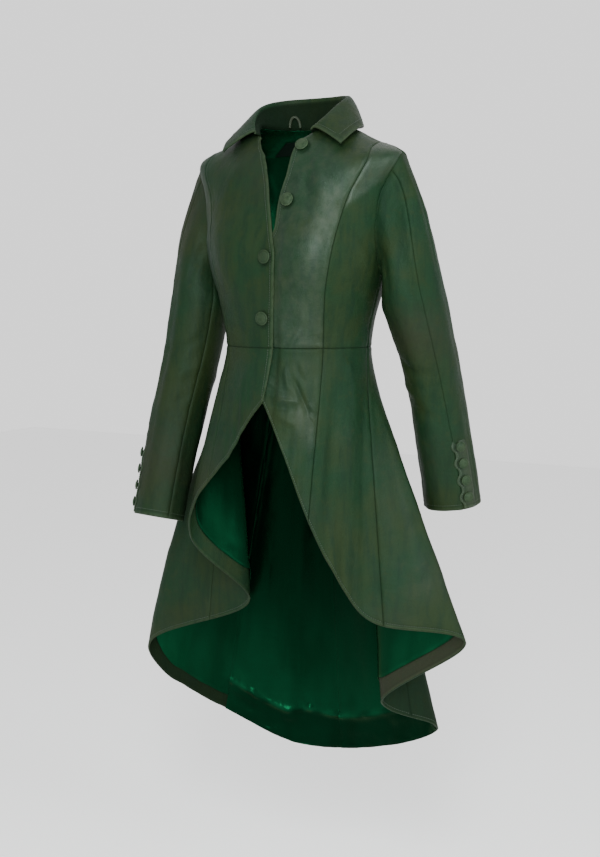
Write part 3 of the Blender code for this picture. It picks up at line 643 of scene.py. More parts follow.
@dataclass(frozen=True)
class LeatherFinish:
    """Soft green nappa leather: clouded dye, fine grain, rubbed edges, painted shade, and a painted
    highlight on the button tops.
    """

    name: str = "Green nappa"
    deep: tuple[float, float, float] = (0.0018, 0.0095, 0.0040)
    green: tuple[float, float, float] = (0.0034, 0.0152, 0.0054)
    olive: tuple[float, float, float] = (0.0088, 0.0162, 0.0046)
    umber: tuple[float, float, float] = (0.0130, 0.0132, 0.0072)
    rubbed: tuple[float, float, float] = (0.034, 0.050, 0.026)
    # Dark colour of the painted shade.
    crease: tuple[float, float, float] = (0.0010, 0.0035, 0.0010)

    def build(self) -> bpy.types.Material:
        """Makes the material."""
        tree = ShaderTree(self.name)
        where = tree.coordinates()
        clouds = tree.noise(where, 9.0, 3.0, 0.55)
        streaks = tree.noise(tree.coordinates((75, 75, 9)), 1.0, 4.0, 0.65)
        mottle = tree.noise(where, 70.0, 3.0, 0.6)
        colour = tree.mix(clouds.between(0.38, 0.66), self.green, self.olive)
        colour = tree.mix(streaks.between(0.40, 0.70) * 0.62, colour, self.deep)
        tint = tree.attribute("umber") * (0.45 + mottle * 0.9)
        colour = tree.mix(tint.between(0.0, 1.0), colour, self.umber)
        colour = tree.mix(mottle.between(0.52, 0.72) * 0.45, colour, self.olive)
        edge = tree.attribute("edge")
        # Turned edges are rubbed lighter. On the buttons the same mix also paints a highlight over
        # the tops.
        rub_and_highlight = edge * tree.noise(where, 160.0, 2.0).between(0.15, 0.62)
        colour = tree.mix(rub_and_highlight * 0.46, colour, self.rubbed)
        # Painted shade: seams, stitch lines, the buttons' pressed rings, the collar stand, the
        # right facing, and the shadows round the buttons and on the left back skirt are mixed
        # towards the dark crease colour.
        painted_shade = tree.attribute("painted_shade")
        colour = tree.mix(painted_shade * 0.6, colour, self.crease)
        polish = 1.0 - tree.attribute("matt")
        rough = 0.58 + (mottle - 0.5) * 0.20 + (clouds - 0.5) * 0.14 - polish * 0.18
        rough = rough + painted_shade * 0.25 - edge * 0.06
        polish = polish * (0.62 + (clouds - 0.5) * 0.35 + (mottle - 0.5) * 0.9) * (1.0 - painted_shade)
        inputs = {"Vector": where, "Scale": 640.0}
        cells = tree.node("TexVoronoi", {"feature": "DISTANCE_TO_EDGE"}, inputs)
        pores = tree.noise(where, 1500.0, 2.0, 0.6)
        wrinkles = tree.noise(tree.coordinates((1, 1, 0.55)), 85.0, 4.0, 0.62, 0.6)
        across = tree.noise(tree.coordinates((45, 45, 190)), 1.0, 3.0, 0.6, 0.5)
        relief = tree.relief(wrinkles, 0.0018, 0.55)
        relief = tree.relief(across, 0.0009, 0.55, relief)
        relief = tree.relief(cells.between(0.0, 0.22), 0.00016, 0.55, relief)
        relief = tree.relief(pores, 0.00010, 0.5, relief)
        tree.set(Base_Color=colour, Roughness=rough, Normal=relief, Metallic=0.0, IOR=1.48,
                 Specular_IOR_Level=0.11, Specular_Tint=(0.70, 0.96, 0.82, 1.0),
                 Coat_Weight=polish.between(0.0, 1.0) * 0.36, Coat_Roughness=0.44, Coat_IOR=1.45)
        return tree.material


@dataclass(frozen=True)
class SatinFinish:
    """Dark green satin lining: long floats that catch light along one way."""

    name: str = "Green satin lining"
    dark: tuple[float, float, float] = (0.0014, 0.024, 0.0090)
    bright: tuple[float, float, float] = (0.0026, 0.040, 0.0160)
    # Near black of the painted shade.
    shade_black: tuple[float, float, float] = (0.0001, 0.0012, 0.0004)

    def build(self) -> bpy.types.Material:
        """Makes the material."""
        tree = ShaderTree(self.name)
        where = tree.coordinates()
        clouds = tree.noise(tree.coordinates((1, 1, 0.3)), 16.0, 2.0, 0.5)
        floats = tree.noise(tree.coordinates((900, 900, 130)), 1.0, 2.0, 0.6)
        slub = tree.noise(tree.coordinates((260, 260, 14)), 1.0, 2.0, 0.5)
        colour = tree.mix(clouds.between(0.3, 0.7), self.dark, self.bright)
        colour = tree.mix(slub.between(0.5, 0.8) * 0.25, colour, self.bright)
        # Painted shade: the satin is mixed towards near black where its shade value is high, and
        # painted glints stay lighter where it dips.
        colour = tree.mix(tree.attribute("painted_shade_and_glint"), colour, self.shade_black)
        rough = 0.30 + (floats - 0.5) * 0.18
        crinkle = tree.noise(tree.coordinates((1, 1, 0.25)), 46.0, 3.0, 0.5, 0.6)
        relief = tree.relief(crinkle, 0.0012, 0.5)
        relief = tree.relief(floats, 0.00008, 0.5, relief)
        tree.set(Base_Color=colour, Roughness=rough, Normal=relief, Metallic=0.55, IOR=1.5,
                 Specular_IOR_Level=0.12, Specular_Tint=(0.05, 0.70, 0.30, 1.0))
        return tree.material


@dataclass(frozen=True)
class ThreadFinish:
    """Waxed sewing thread, a shade lighter than the leather."""

    name: str = "Green thread"
    colour: tuple[float, float, float] = (0.020, 0.036, 0.020)

    def build(self) -> bpy.types.Material:
        """Makes the material."""
        tree = ShaderTree(self.name)
        twist = tree.noise(tree.coordinates((900, 900, 900)), 1.0, 1.0)
        dark = tuple(part * 0.55 for part in self.colour)
        colour = tree.mix(twist.between(0.35, 0.65), dark, self.colour)
        tree.set(Base_Color=colour, Roughness=0.50 + (twist - 0.5) * 0.2, Metallic=0.0,
                 Normal=tree.relief(twist, 0.00012, 0.6))
        return tree.material


@dataclass(frozen=True)
class LabelFinish:
    """Plain dark woven patch."""

    name: str = "Plain woven patch"
    dark: tuple[float, float, float] = (0.0008, 0.0036, 0.0020)
    light: tuple[float, float, float] = (0.0024, 0.0076, 0.0046)

    def build(self) -> bpy.types.Material:
        """Makes the material."""
        tree = ShaderTree(self.name)
        inputs = {"Vector": tree.coordinates(), "Scale": 420.0, "Distortion": 0.4}
        weave = tree.node("TexWave", {"bands_direction": "Z"}, inputs, output="Fac")
        colour = tree.mix(weave.between(0.2, 0.8), self.dark, self.light)
        tree.set(Base_Color=colour, Roughness=0.75 + (weave - 0.5) * 0.1, Metallic=0.0,
                 Specular_IOR_Level=0.08, Normal=tree.relief(weave, 0.0001, 0.5))
        return tree.material


@dataclass(frozen=True)
class Finishes:
    """The coat's materials, made once."""

    leather: bpy.types.Material = field(default_factory=lambda: LeatherFinish().build())
    satin: bpy.types.Material = field(default_factory=lambda: SatinFinish().build())
    thread: bpy.types.Material = field(default_factory=lambda: ThreadFinish().build())
    label: bpy.types.Material = field(default_factory=lambda: LabelFinish().build())


def add_piece(name: str, points: np.ndarray, faces: np.ndarray,
              materials: Sequence[bpy.types.Material],
              slots: np.ndarray | None = None,
              marks: dict[str, np.ndarray] | None = None) -> bpy.types.Object:
    """Adds a mesh piece that rides on the coat.

    Args:
        name: Its name.
        points: Its points.
        faces: Its faces, all with the same number of corners.
        materials: Its materials.
        slots: The material's number for each face.
        marks: Values stored on its points, by name.

    Returns:
        The new object.
    """
    mesh = bpy.data.meshes.new(name)
    corners = faces.shape[1]
    mesh.vertices.add(len(points))
    mesh.vertices.foreach_set("co", np.ascontiguousarray(points, np.float32).ravel())
    mesh.loops.add(faces.size)
    mesh.loops.foreach_set("vertex_index", np.ascontiguousarray(faces, np.int32).ravel())
    mesh.polygons.add(len(faces))
    mesh.polygons.foreach_set("loop_start", np.arange(0, faces.size, corners, dtype=np.int32))
    if slots is not None:
        mesh.polygons.foreach_set("material_index", slots.astype(np.int32))
    mesh.update(calc_edges=True)
    mesh.shade_smooth()
    mesh.validate()
    for key, values in (marks or {}).items():
        layer = mesh.attributes.new(key, "FLOAT", "POINT")
        layer.data.foreach_set("value", np.ascontiguousarray(values, np.float32).ravel())
    for material in materials:
        mesh.materials.append(material)
    piece = bpy.data.objects.new(name, mesh)
    bpy.context.scene.collection.objects.link(piece)
    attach(piece, "root")
    return piece


def grid_area(points: np.ndarray) -> float:
    """Area of a grid: half the cross product of each cell's diagonals, summed."""
    first = points[1:, 1:] - points[:-1, :-1]
    second = points[1:, :-1] - points[:-1, 1:]
    return float(np.linalg.norm(np.cross(first, second), axis=-1).sum() / 2)


def cut_size(points: np.ndarray) -> tuple[float, float, float]:
    """Width, length and area of the flat cut that a grid was sewn from.

    Formula: the grid is laid flat by its lengths along columns and across rows, and the
    smallest rectangle around it is taken over a quarter of a turn.
    """
    down, _, over, _ = border_distances(points)
    over = over - over[:, over.shape[1] // 2, None]
    turn = np.radians(np.arange(0, 90, 3))[:, None, None]
    wide = np.ptp(over * np.cos(turn) + down * np.sin(turn), axis=(1, 2))
    long = np.ptp(down * np.cos(turn) - over * np.sin(turn), axis=(1, 2))
    best = np.argmin(wide * long)
    area = grid_area(points)
    stretch = max(1.0, 1.01 * (area / (wide[best] * long[best])) ** 0.5)
    return float(wide[best] * stretch), float(long[best] * stretch), area


def add_wall(name: str, outer: np.ndarray, inner: np.ndarray, face: bpy.types.Material,
             back: bpy.types.Material,
             marks: dict[str, np.ndarray]) -> bpy.types.Object:
    """Formula: both grids' cells are faces, the inner ones turned round, and a strip of faces
    joins the two along the rim.

    Args:
        name: The piece's name.
        outer: Grid of its outer face.
        inner: Grid of its inner face.
        face: Material of the outer face and the rim.
        back: Material of the inner face.
        marks: Values of the outer grid's points, which the inner ones share.

    Returns:
        The new object.
    """
    rows, columns = outer.shape[:2]
    count = rows * columns
    index = np.arange(count).reshape(rows, columns)
    cells = np.stack([index[:-1, :-1], index[:-1, 1:], index[1:, 1:], index[1:, :-1]], -1)
    cells = cells.reshape(-1, 4)
    rim = np.concatenate([index[0, :-1], index[:-1, -1], index[-1, :0:-1], index[:0:-1, 0]])
    ring = np.stack([np.roll(rim, -1), rim, rim + count, np.roll(rim, -1) + count], -1)
    faces = np.concatenate([cells, cells[:, ::-1] + count, ring])
    across = outer[:-1, 1:] - outer[:-1, :-1]
    along = outer[1:, :-1] - outer[:-1, :-1]
    if np.sum(np.cross(across, along) * (outer - inner)[:-1, :-1]) < 0:
        faces = faces[:, ::-1]
    slots = np.zeros(len(faces))
    slots[len(cells):2 * len(cells)] = 1
    points = np.concatenate([outer.reshape(-1, 3), inner.reshape(-1, 3)])
    doubled = {key: np.concatenate([value.ravel()] * 2) for key, value in marks.items()}
    piece = add_piece(name, points, faces, (face, back), slots, doubled)
    width, length, area = cut_size(outer)
    return piece


def border_distances(points: np.ndarray) -> tuple[np.ndarray, ...]:
    """Distance along the grid from its first row, last row, first column and last column."""
    down = np.cumsum(np.linalg.norm(np.diff(points, axis=0), axis=-1), axis=0)
    down = np.concatenate([np.zeros_like(down[:1]), down])
    over = np.cumsum(np.linalg.norm(np.diff(points, axis=1), axis=-1), axis=1)
    over = np.concatenate([np.zeros_like(over[:, :1]), over], axis=1)
    return down, down[-1:] - down, over, over[:, -1:] - over


class Border(Enum):
    """How a panel's border is finished."""

    SEWN = "sewn to its neighbour"
    TURNED = "turned under and stitched"
    COVERED = "covered by another piece"


@dataclass(frozen=True)
class SewnRelief:
    """Relief of seams and turned edges, in metres."""

    groove_depth: float = 0.0007
    groove_width: float = 0.0011
    ridge_height: float = 0.0005
    ridge_place: float = 0.0055
    ridge_width: float = 0.0030
    pucker_height: float = 0.0009
    pucker_length: float = 0.011
    pucker_width: float = 0.008
    turn_radius: float = 0.0018
    stitch_depth: float = 0.0004
    stitch_width: float = 0.0012

    def height(self, distance: np.ndarray, points: np.ndarray, border: Border) -> np.ndarray:
        """Height near one border.

        Args:
            distance: Distance to the border.
            points: The grid's points, which the puckers' noise reads.
            border: How it is finished.

        Returns:
            The height to add.
        """
        if border is Border.COVERED:
            return np.zeros_like(distance)
        pucker = lattice_noise(points / self.pucker_length, 5) * self.pucker_height
        pucker = pucker * bump(distance, self.pucker_width)
        if border is Border.SEWN:
            ridge = self.ridge_height * bump(distance - self.ridge_place, self.ridge_width)
            return ridge + pucker - self.groove_depth * bump(distance, self.groove_width)
        inside = np.clip(self.turn_radius - distance, 0, self.turn_radius)
        turn = self.turn_radius - np.sqrt(self.turn_radius ** 2 - inside ** 2)
        stitch = self.stitch_depth * bump(distance - BORDER_OFFSETS[STITCH_LINE], self.stitch_width)
        return pucker * 0.5 - turn - stitch


RELIEF = SewnRelief()
FOUR_SEWN = (Border.SEWN,) * 4


def sewn_height(points: np.ndarray,
                borders: Sequence[Border]) -> tuple[np.ndarray, dict[str, np.ndarray]]:
    """Relief of a panel's four borders, and the marks that its material reads.

    Args:
        points: The panel's bare grid.
        borders: Finish of the first row, last row, first column and last column.

    Returns:
        The height, the mark of painted shade along sewn seams and stitch lines, and the mark of
        rubbed turned edges.
    """
    height = np.zeros(points.shape[:2])
    # Painted shade: a darkening along sewn seams and the stitch lines of turned edges, where shade
    # falls in the grooves.
    painted_shade = np.zeros(points.shape[:2])
    edge = np.zeros(points.shape[:2])
    for distance, border in zip(border_distances(points), borders):
        height = height + RELIEF.height(distance, points, border)
        if border is Border.SEWN:
            painted_shade = np.maximum(painted_shade, bump(distance, 0.0008))
        if border is Border.TURNED:
            edge = np.maximum(edge, 0.7 * bump(distance, 0.0030))
            stitch = bump(distance - BORDER_OFFSETS[STITCH_LINE], 0.0009)
            painted_shade = np.maximum(painted_shade, 0.45 * stitch)
    return height, {"painted_shade": painted_shade, "edge": edge}


BODY_CREASES = (
    # Left front below the waist, where the lap pulls
    Crease(LEFT, ((5.0, -0.74), (18.0, -0.535), (31.0, -0.40)), 0.0030, 0.0030),
    Crease(LEFT, ((7.0, -0.84), (18.0, -0.62), (29.0, -0.47)), -0.0024, 0.0045),
    Crease(LEFT, ((23.0, -0.27), (31.0, -0.37), (38.0, -0.44)), -0.0034, 0.0042),
    Crease(LEFT, ((16.0, -0.20), (18.0, -0.31), (20.0, -0.41)), 0.0024, 0.0045),
    Crease(LEFT, ((24.0, -0.12), (27.0, -0.20), (34.0, -0.27)), -0.0014, 0.0055),
    Crease(LEFT, ((4.0, -0.56), (8.0, -0.53), (12.0, -0.50)), 0.0018, 0.0028),
    Crease(LEFT, ((4.0, -0.40), (8.0, -0.37), (11.0, -0.36)), 0.0014, 0.0030),
    Crease(LEFT, ((14.0, -0.80), (21.0, -0.69), (29.0, -0.60)), 0.0024, 0.0060),
    Crease(LEFT, ((37.0, -0.37), (40.0, -0.375), (43.0, -0.38)), 0.0014, 0.0026),
    Crease(LEFT, ((37.0, -0.43), (40.0, -0.43), (43.0, -0.43)), 0.0014, 0.0026),
    Crease(LEFT, ((17.0, 0.010), (22.0, 0.025), (27.0, 0.055)), 0.0024, 0.0030),
    Crease(LEFT, ((41.0, 0.31), (44.0, 0.33), (47.0, 0.335)), 0.0013, 0.0028),
    Crease(LEFT, ((41.0, 0.36), (44.0, 0.375), (48.0, 0.38)), 0.0013, 0.0028),
    Crease(LEFT, ((43.0, 0.41), (46.0, 0.425), (50.0, 0.43)), 0.0013, 0.0028),
    Crease(LEFT, ((10.0, 0.10), (18.0, 0.075), (26.0, 0.10)), -0.0014, 0.0055),
    Crease(LEFT, ((66.0, -0.05), (72.0, -0.16), (76.0, -0.30)), 0.0022, 0.0090),
    Crease(LEFT, ((60.0, -0.03), (70.0, -0.05), (82.0, -0.03)), -0.0016, 0.0060),
    # Right front round the waist
    Crease(RIGHT, ((2.0, 0.06), (20.0, 0.045), (40.0, 0.07)), -0.0014, 0.0060),
    Crease(RIGHT, ((6.0, -0.08), (26.0, -0.05), (48.0, -0.06)), 0.0014, 0.0070),
    Crease(RIGHT, ((12.0, -0.30), (24.0, -0.42), (30.0, -0.58)), 0.0016, 0.0090),
    # Long falls of the skirt
    Crease(LEFT, ((56.0, -0.10), (58.0, -0.50), (62.0, -0.92)), -0.0035, 0.0150),
    Crease(LEFT, ((68.0, -0.16), (72.0, -0.55), (78.0, -0.96)), 0.0035, 0.0140),
    Crease(LEFT, ((97.0, -0.12), (100.0, -0.50), (101.0, -0.92)), -0.0030, 0.0150),
    Crease(LEFT, ((158.0, -0.10), (160.0, -0.50), (162.0, -0.95)), 0.0040, 0.0200),
    Crease(LEFT, ((168.0, -0.15), (170.0, -0.55), (172.0, -0.95)), -0.0035, 0.0180),
    Crease(RIGHT, ((52.0, -0.10), (54.0, -0.50), (57.0, -0.90)), 0.0030, 0.0150),
    Crease(RIGHT, ((96.0, -0.12), (98.0, -0.52), (97.0, -0.94)), -0.0032, 0.0150),
    Crease(RIGHT, ((120.0, -0.12), (122.0, -0.52), (124.0, -0.92)), 0.0034, 0.0180),
    Crease(RIGHT, ((152.0, -0.12), (154.0, -0.50), (157.0, -0.94)), -0.0036, 0.0190),
    Crease(RIGHT, ((166.0, -0.10), (167.0, -0.50), (169.0, -0.94)), 0.0034, 0.0180),
    # Pulls across the chest, under the arms and over the back waist
    Crease(LEFT, ((34.0, 0.50), (26.0, 0.60), (22.0, 0.74)), 0.0018, 0.0110),
    Crease(LEFT, ((26.0, 0.48), (20.0, 0.60), (19.0, 0.72)), -0.0018, 0.0110),
    Crease(LEFT, ((72.0, 0.22), (60.0, 0.30), (52.0, 0.36)), 0.0018, 0.0080),
    Crease(LEFT, ((78.0, 0.10), (66.0, 0.16), (54.0, 0.18)), -0.0016, 0.0070),
    Crease(RIGHT, ((36.0, 0.46), (26.0, 0.62), (22.0, 0.80)), 0.0016, 0.0130),
    Crease(RIGHT, ((70.0, 0.24), (56.0, 0.34), (46.0, 0.40)), 0.0018, 0.0090),
    Crease(RIGHT, ((76.0, 0.10), (60.0, 0.15), (48.0, 0.16)), -0.0016, 0.0070),
    Crease(LEFT, ((150.0, 0.06), (165.0, 0.03), (178.0, 0.05)), 0.0018, 0.0070),
    Crease(RIGHT, ((148.0, 0.12), (162.0, 0.08), (176.0, 0.11)), -0.0018, 0.0080),
    Crease(RIGHT, ((112.0, 0.20), (126.0, 0.27), (140.0, 0.40)), 0.0020, 0.0090),
    Crease(LEFT, ((110.0, 0.22), (124.0, 0.30), (138.0, 0.44)), -0.0018, 0.0090),
)
SLEEVE_CREASES = (
    Crease(LEFT, ((150.0, 1.22), (105.0, 1.30), (60.0, 1.33)), -0.0030, 0.0070),
    Crease(LEFT, ((160.0, 1.36), (115.0, 1.42), (70.0, 1.42)), 0.0026, 0.0080),
    Crease(LEFT, ((150.0, 1.50), (110.0, 1.50), (66.0, 1.56)), -0.0024, 0.0070),
    Crease(LEFT, ((100.0, 0.60), (96.0, 1.10), (92.0, 1.60)), 0.0020, 0.0120),
    Crease(LEFT, ((62.0, 0.55), (58.0, 1.20), (60.0, 1.85)), -0.0022, 0.0120),
    Crease(LEFT, ((120.0, 0.14), (112.0, 0.45), (106.0, 0.80)), -0.0028, 0.0080),
    Crease(LEFT, ((20.0, 0.20), (10.0, 0.80), (6.0, 1.40)), 0.0018, 0.0120),
    Crease(LEFT, ((200.0, 1.30), (240.0, 1.36), (285.0, 1.34)), 0.0026, 0.0080),
    Crease(LEFT, ((215.0, 1.50), (250.0, 1.46), (300.0, 1.50)), -0.0026, 0.0080),
    Crease(RIGHT, ((140.0, 1.16), (100.0, 1.24), (62.0, 1.24)), -0.0028, 0.0070),
    Crease(RIGHT, ((150.0, 1.30), (110.0, 1.36), (70.0, 1.38)), 0.0024, 0.0080),
    Crease(RIGHT, ((150.0, 1.44), (120.0, 1.48), (80.0, 1.56)), -0.0022, 0.0070),
    Crease(RIGHT, ((112.0, 0.12), (104.0, 0.50), (98.0, 0.90)), -0.0028, 0.0080),
    Crease(RIGHT, ((84.0, 0.60), (82.0, 1.20), (84.0, 1.80)), 0.0022, 0.0110),
    Crease(RIGHT, ((128.0, 1.20), (124.0, 1.55), (122.0, 1.90)), -0.0022, 0.0100),
    Crease(RIGHT, ((40.0, 0.60), (36.0, 1.10), (38.0, 1.60)), -0.0018, 0.0120),
    Crease(RIGHT, ((210.0, 1.30), (250.0, 1.38), (290.0, 1.36)), 0.0026, 0.0080),
)


def crease_height(points: np.ndarray, side: int, creases: Iterable[Crease],
                  on_sleeve: bool) -> np.ndarray:
    """Sum of the creases of one side over a grid."""
    return sum(crease.height(points, on_sleeve) for crease in creases if crease.side == side)


def soft_unevenness(points: np.ndarray) -> np.ndarray:
    """Gentle hollows that leather keeps: three sizes of smooth noise."""
    height = 0.0011 * lattice_noise(points / 0.055, 11)
    height = height + 0.0006 * lattice_noise(points / 0.026, 12)
    return height + 0.00025 * lattice_noise(points / 0.011, 13)


@dataclass
class BodyPanels:
    """The leather panels of bodice and skirt, and what is sewn along their edges."""

    finishes: Finishes
    wall: float = 0.0016
    fall_height: float = 0.0030
    fine_steps: int = 800
    armhole_fade: float = 0.014
    grids: dict[str, np.ndarray] = field(default_factory=dict)
    normals: dict[str, np.ndarray] = field(default_factory=dict)

    def smooth_line(self, side: int, rows: Sequence[tuple[float, float]],
                    base: np.ndarray) -> np.ndarray:
        """Places along a cut line: a spline through its level and angle rows, read evenly
        by real length with fixed distances at both ends."""
        table = np.array(rows, float)[:, ::-1]
        points = FORM.surface(side, table[:, 0], table[:, 1])
        knots = run_length(points)
        fine = spline(knots, table, np.linspace(0, knots[-1], self.fine_steps))
        return self.even(side, fine, base)

    def even(self, side: int, fine: np.ndarray, base: np.ndarray) -> np.ndarray:
        """Reads a finely drawn line at graded shares of its length."""
        points = FORM.surface(side, fine[:, 0], fine[:, 1])
        total = run_length(points)
        wanted = graded(base, total[-1:])[:, 0] * total[-1]
        return read_line(wanted, total, fine)

    def edge_angle(self, side: int, level: np.ndarray) -> np.ndarray:
        """Angle of the front edge: its rows read at five near levels and averaged."""
        levels, angles = np.array(FRONT_EDGE_ROWS[side], float).T
        near = level[None] + np.array([-0.02, -0.01, 0.0, 0.01, 0.02])[:, None]
        return np.interp(near, levels, angles).mean(0)

    def patch(self, side: int, left: np.ndarray, right: np.ndarray, base: np.ndarray) -> np.ndarray:
        """Grid of places on straight lines between two border lines."""
        shares = np.linspace(0, 1, 9)[None, :, None]
        tried = left[:, None] * (1 - shares) + right[:, None] * shares
        points = FORM.surface(side, tried[..., 0], tried[..., 1])
        width = np.linalg.norm(np.diff(points, axis=1), axis=-1).sum(1)
        shares = graded(base, np.maximum(width, 0.002)).T[..., None]
        return left[:, None] * (1 - shares) + right[:, None] * shares

    def bodice_places(self, side: int) -> dict[str, np.ndarray]:
        """Grids of places of one side's bodice panels."""
        lower = np.linspace(0, 1, 74)
        upper = np.linspace(0, 1, 14)
        seam = np.stack([np.full(80, 90.0), np.linspace(0, FORM.armhole_foot, 80)], -1)
        turns = np.linspace(180, 0, 300)
        front_side = self.even(side, np.concatenate([seam[:-1], FORM.armhole(turns)]), lower)
        back_side = self.even(side, np.concatenate([seam[:-1], FORM.armhole(-turns)]), lower)
        front_line = self.smooth_line(side, FRONT_PRINCESS_ROWS, lower)
        back_line = self.smooth_line(side, BACK_PRINCESS_ROWS, lower)
        shoulder = np.stack([np.full(120, 90.0), np.linspace(front_line[-1, 1], 1, 120)], -1)
        shoulder = self.even(side, shoulder, upper)
        front_outer = np.concatenate([front_line[:-1], shoulder])
        back_outer = np.concatenate([back_line[:-1], shoulder])
        levels = front_outer[:, 1]
        front_edge = np.stack([self.edge_angle(side, levels), levels], -1)
        centre = np.stack([np.full(len(back_outer), 180.0), back_outer[:, 1]], -1)
        return {
            "front": self.patch(side, front_edge, front_outer, np.linspace(0, 1, 34)),
            "side_front": self.patch(side, front_line, front_side, np.linspace(0, 1, 24)),
            "side_back": self.patch(side, back_side, back_line, np.linspace(0, 1, 24)),
            "back": self.patch(side, back_outer, centre, np.linspace(0, 1, 34)),
        }

    def skirt_places(self, side: int) -> dict[str, np.ndarray]:
        """Grids of places of one side's skirt panels, from the waist down to the hem."""
        grids = {}
        for name, (start, end, count) in SKIRT_CUTS.items():
            fine = np.linspace(start, end, 400)
            hem = FORM.hem(side, fine)
            steps = np.diff(hem, axis=0)
            turns = np.linalg.norm(np.diff(unit(steps), axis=0), axis=1)
            measure = np.linalg.norm(steps, axis=1) + 0.03 * np.pad(turns, (1, 0))
            total = np.concatenate([[0], np.cumsum(measure)])
            shares = (fine - start) / (end - start)
            base = np.interp(np.linspace(0, total[-1], count), total, shares)
            rough_levels = np.linspace(0, -1, 60)
            across = FORM.surface(side, fine[None, ::8], rough_levels[:, None])
            widths = np.linalg.norm(np.diff(across, axis=1), axis=-1).sum(1)
            lengths = np.linalg.norm(np.diff(across, axis=0), axis=-1).sum(0)
            rows = -np.linspace(0, 1, 76)
            share = graded(base, np.interp(-rows, -rough_levels, widths)).T
            angle = start + (end - start) * share
            if start == 0:
                angle = angle + self.edge_angle(side, rows)[:, None] * (1 - share)
            span = np.interp(angle[-1], fine[::8], lengths)
            level = -graded(-rows, span)
            index = np.clip(-level * (len(rows) - 1), 0, len(rows) - 1)
            low = np.minimum(index.astype(int), len(rows) - 2)
            part = index - low
            columns = np.arange(angle.shape[1])[None]
            angle = angle[low, columns] * (1 - part) + angle[low + 1, columns] * part
            grids[name] = np.stack([angle, level], -1)
        return grids

    def falls(self, side: int, places: np.ndarray) -> np.ndarray:
        """Long soft folds down the skirt: noise drawn out along the level."""
        drop = ease(-places[..., 1])
        angle = places[..., 0] * side
        drawn = np.stack([angle / 7.0 + 40, places[..., 1] * 1.1 + 9], -1)
        close = np.stack([angle / 3.2 + 90, places[..., 1] * 1.8 + 5], -1)
        both = 0.8 * lattice_noise(drawn, 21) + 0.35 * lattice_noise(close, 22)
        return self.fall_height * drop * both

    def lean(self, side: int, places: np.ndarray, points: np.ndarray) -> np.ndarray:
        """Height of creases, hollows and falls, less at the lap and none at the armhole."""
        height = crease_height(points, side, BODY_CREASES, False)
        height = height + soft_unevenness(points) + self.falls(side, places)
        height = height * (0.35 + 0.65 * ease((places[..., 0] - 4.0) / 12.0))
        hole = FORM.armhole(np.linspace(0, 360, 90))
        hole = FORM.surface(side, hole[:, 0], hole[:, 1])
        gap = np.linalg.norm(points.reshape(-1, 1, 3) - hole[None], axis=-1).min(1)
        return height * ease(gap.reshape(height.shape) / self.armhole_fade)

    def umber(self, side: int, places: np.ndarray, points: np.ndarray) -> np.ndarray:
        """Where the dye looks brown: low on the right skirt and along the hem."""
        low = ease((-places[..., 1] - 0.45) / 0.5)
        amount = low * (0.25 if side == RIGHT else 0.20)
        chest = 0.30 * (side == RIGHT) * ease((places[..., 1] - 0.35) / 0.5)
        patch = lattice_noise(points / 0.09, 31) * 0.35
        return np.clip(amount + chest + patch, 0, 1)

    def matt(self, name: str, side: int, places: np.ndarray, points: np.ndarray) -> np.ndarray:
        """How dull the leather is: the left front is polished, most of the rest is not."""
        angle, level = places[..., 0], places[..., 1]
        dull = np.where(level < 0, 0.76, 0.92)
        if side == LEFT and name == "front":
            dull = 0.25 * ease((angle - 30) / 20)
        if side == LEFT and name == "side_front":
            dull = -0.55 + 1.50 * ease((0.50 + 0.004 * (angle - 46) - level) / 0.06)
        if side == LEFT and name == "skirt_front":
            dull = 0.70 - 0.45 * bump(level + 0.50, 0.13)
        return np.clip(dull + 0.20 * lattice_noise(points / 0.05, 32), -0.6, 1)

    def shade(self, name: str, side: int, places: np.ndarray) -> np.ndarray:
        """Darkening of the left back skirt, which hangs in the shadow of its fold."""
        if side == RIGHT or name not in ("skirt_side_back", "skirt_back"):
            return np.zeros(places.shape[:2])
        return 0.9 * ease((places[..., 0] - 124) / 10) * ease((-places[..., 1] - 0.65) / 0.2)

    def button_shadow(self, name: str, side: int, points: np.ndarray) -> np.ndarray:
        """Painted shadow round each covered button, its middle set a little lower and towards the
        wearer's left.
        """
        total = np.zeros(points.shape[:2])
        for _, own, angle, level, _ in FRONT_BUTTONS:
            if own == side and name == "front":
                middle = FORM.surface(side, np.array(angle), np.array(level))
                middle = middle + np.array([0.0012, 0.0, -0.0020])
                gap = np.linalg.norm(points - middle, axis=-1)
                total = np.maximum(total, bump(gap - FRONT_BUTTON_RADIUS, 0.0022))
        return total

    def borders(self, name: str) -> tuple[Border, Border, Border, Border]:
        """Finish of a panel's first row, last row, first column and last column."""
        if name == "front":
            return Border.SEWN, Border.SEWN, Border.TURNED, Border.SEWN
        if name == "skirt_front":
            return Border.SEWN, Border.TURNED, Border.TURNED, Border.SEWN
        if name.startswith("skirt"):
            return Border.SEWN, Border.TURNED, Border.SEWN, Border.SEWN
        return FOUR_SEWN

    def build_panel(self, node: str, name: str, side: int, places: np.ndarray) -> None:
        """Builds one panel and keeps its grid for what is sewn on it."""
        angle, level = places[..., 0], places[..., 1]
        points = FORM.surface(side, angle, level)
        normals = FORM.normal(side, angle, level)
        height, marks = sewn_height(points, self.borders(name))
        height = height + self.lean(side, places, points) - FORM.lap(side, angle, level)
        marks["umber"] = self.umber(side, places, points)
        marks["matt"] = self.matt(name, side, places, points)
        faded = 0.8 * ease((level - 0.58) / 0.12)
        faded = faded + 0.7 * (side == RIGHT) * ease((-level - 0.3) / 0.3)
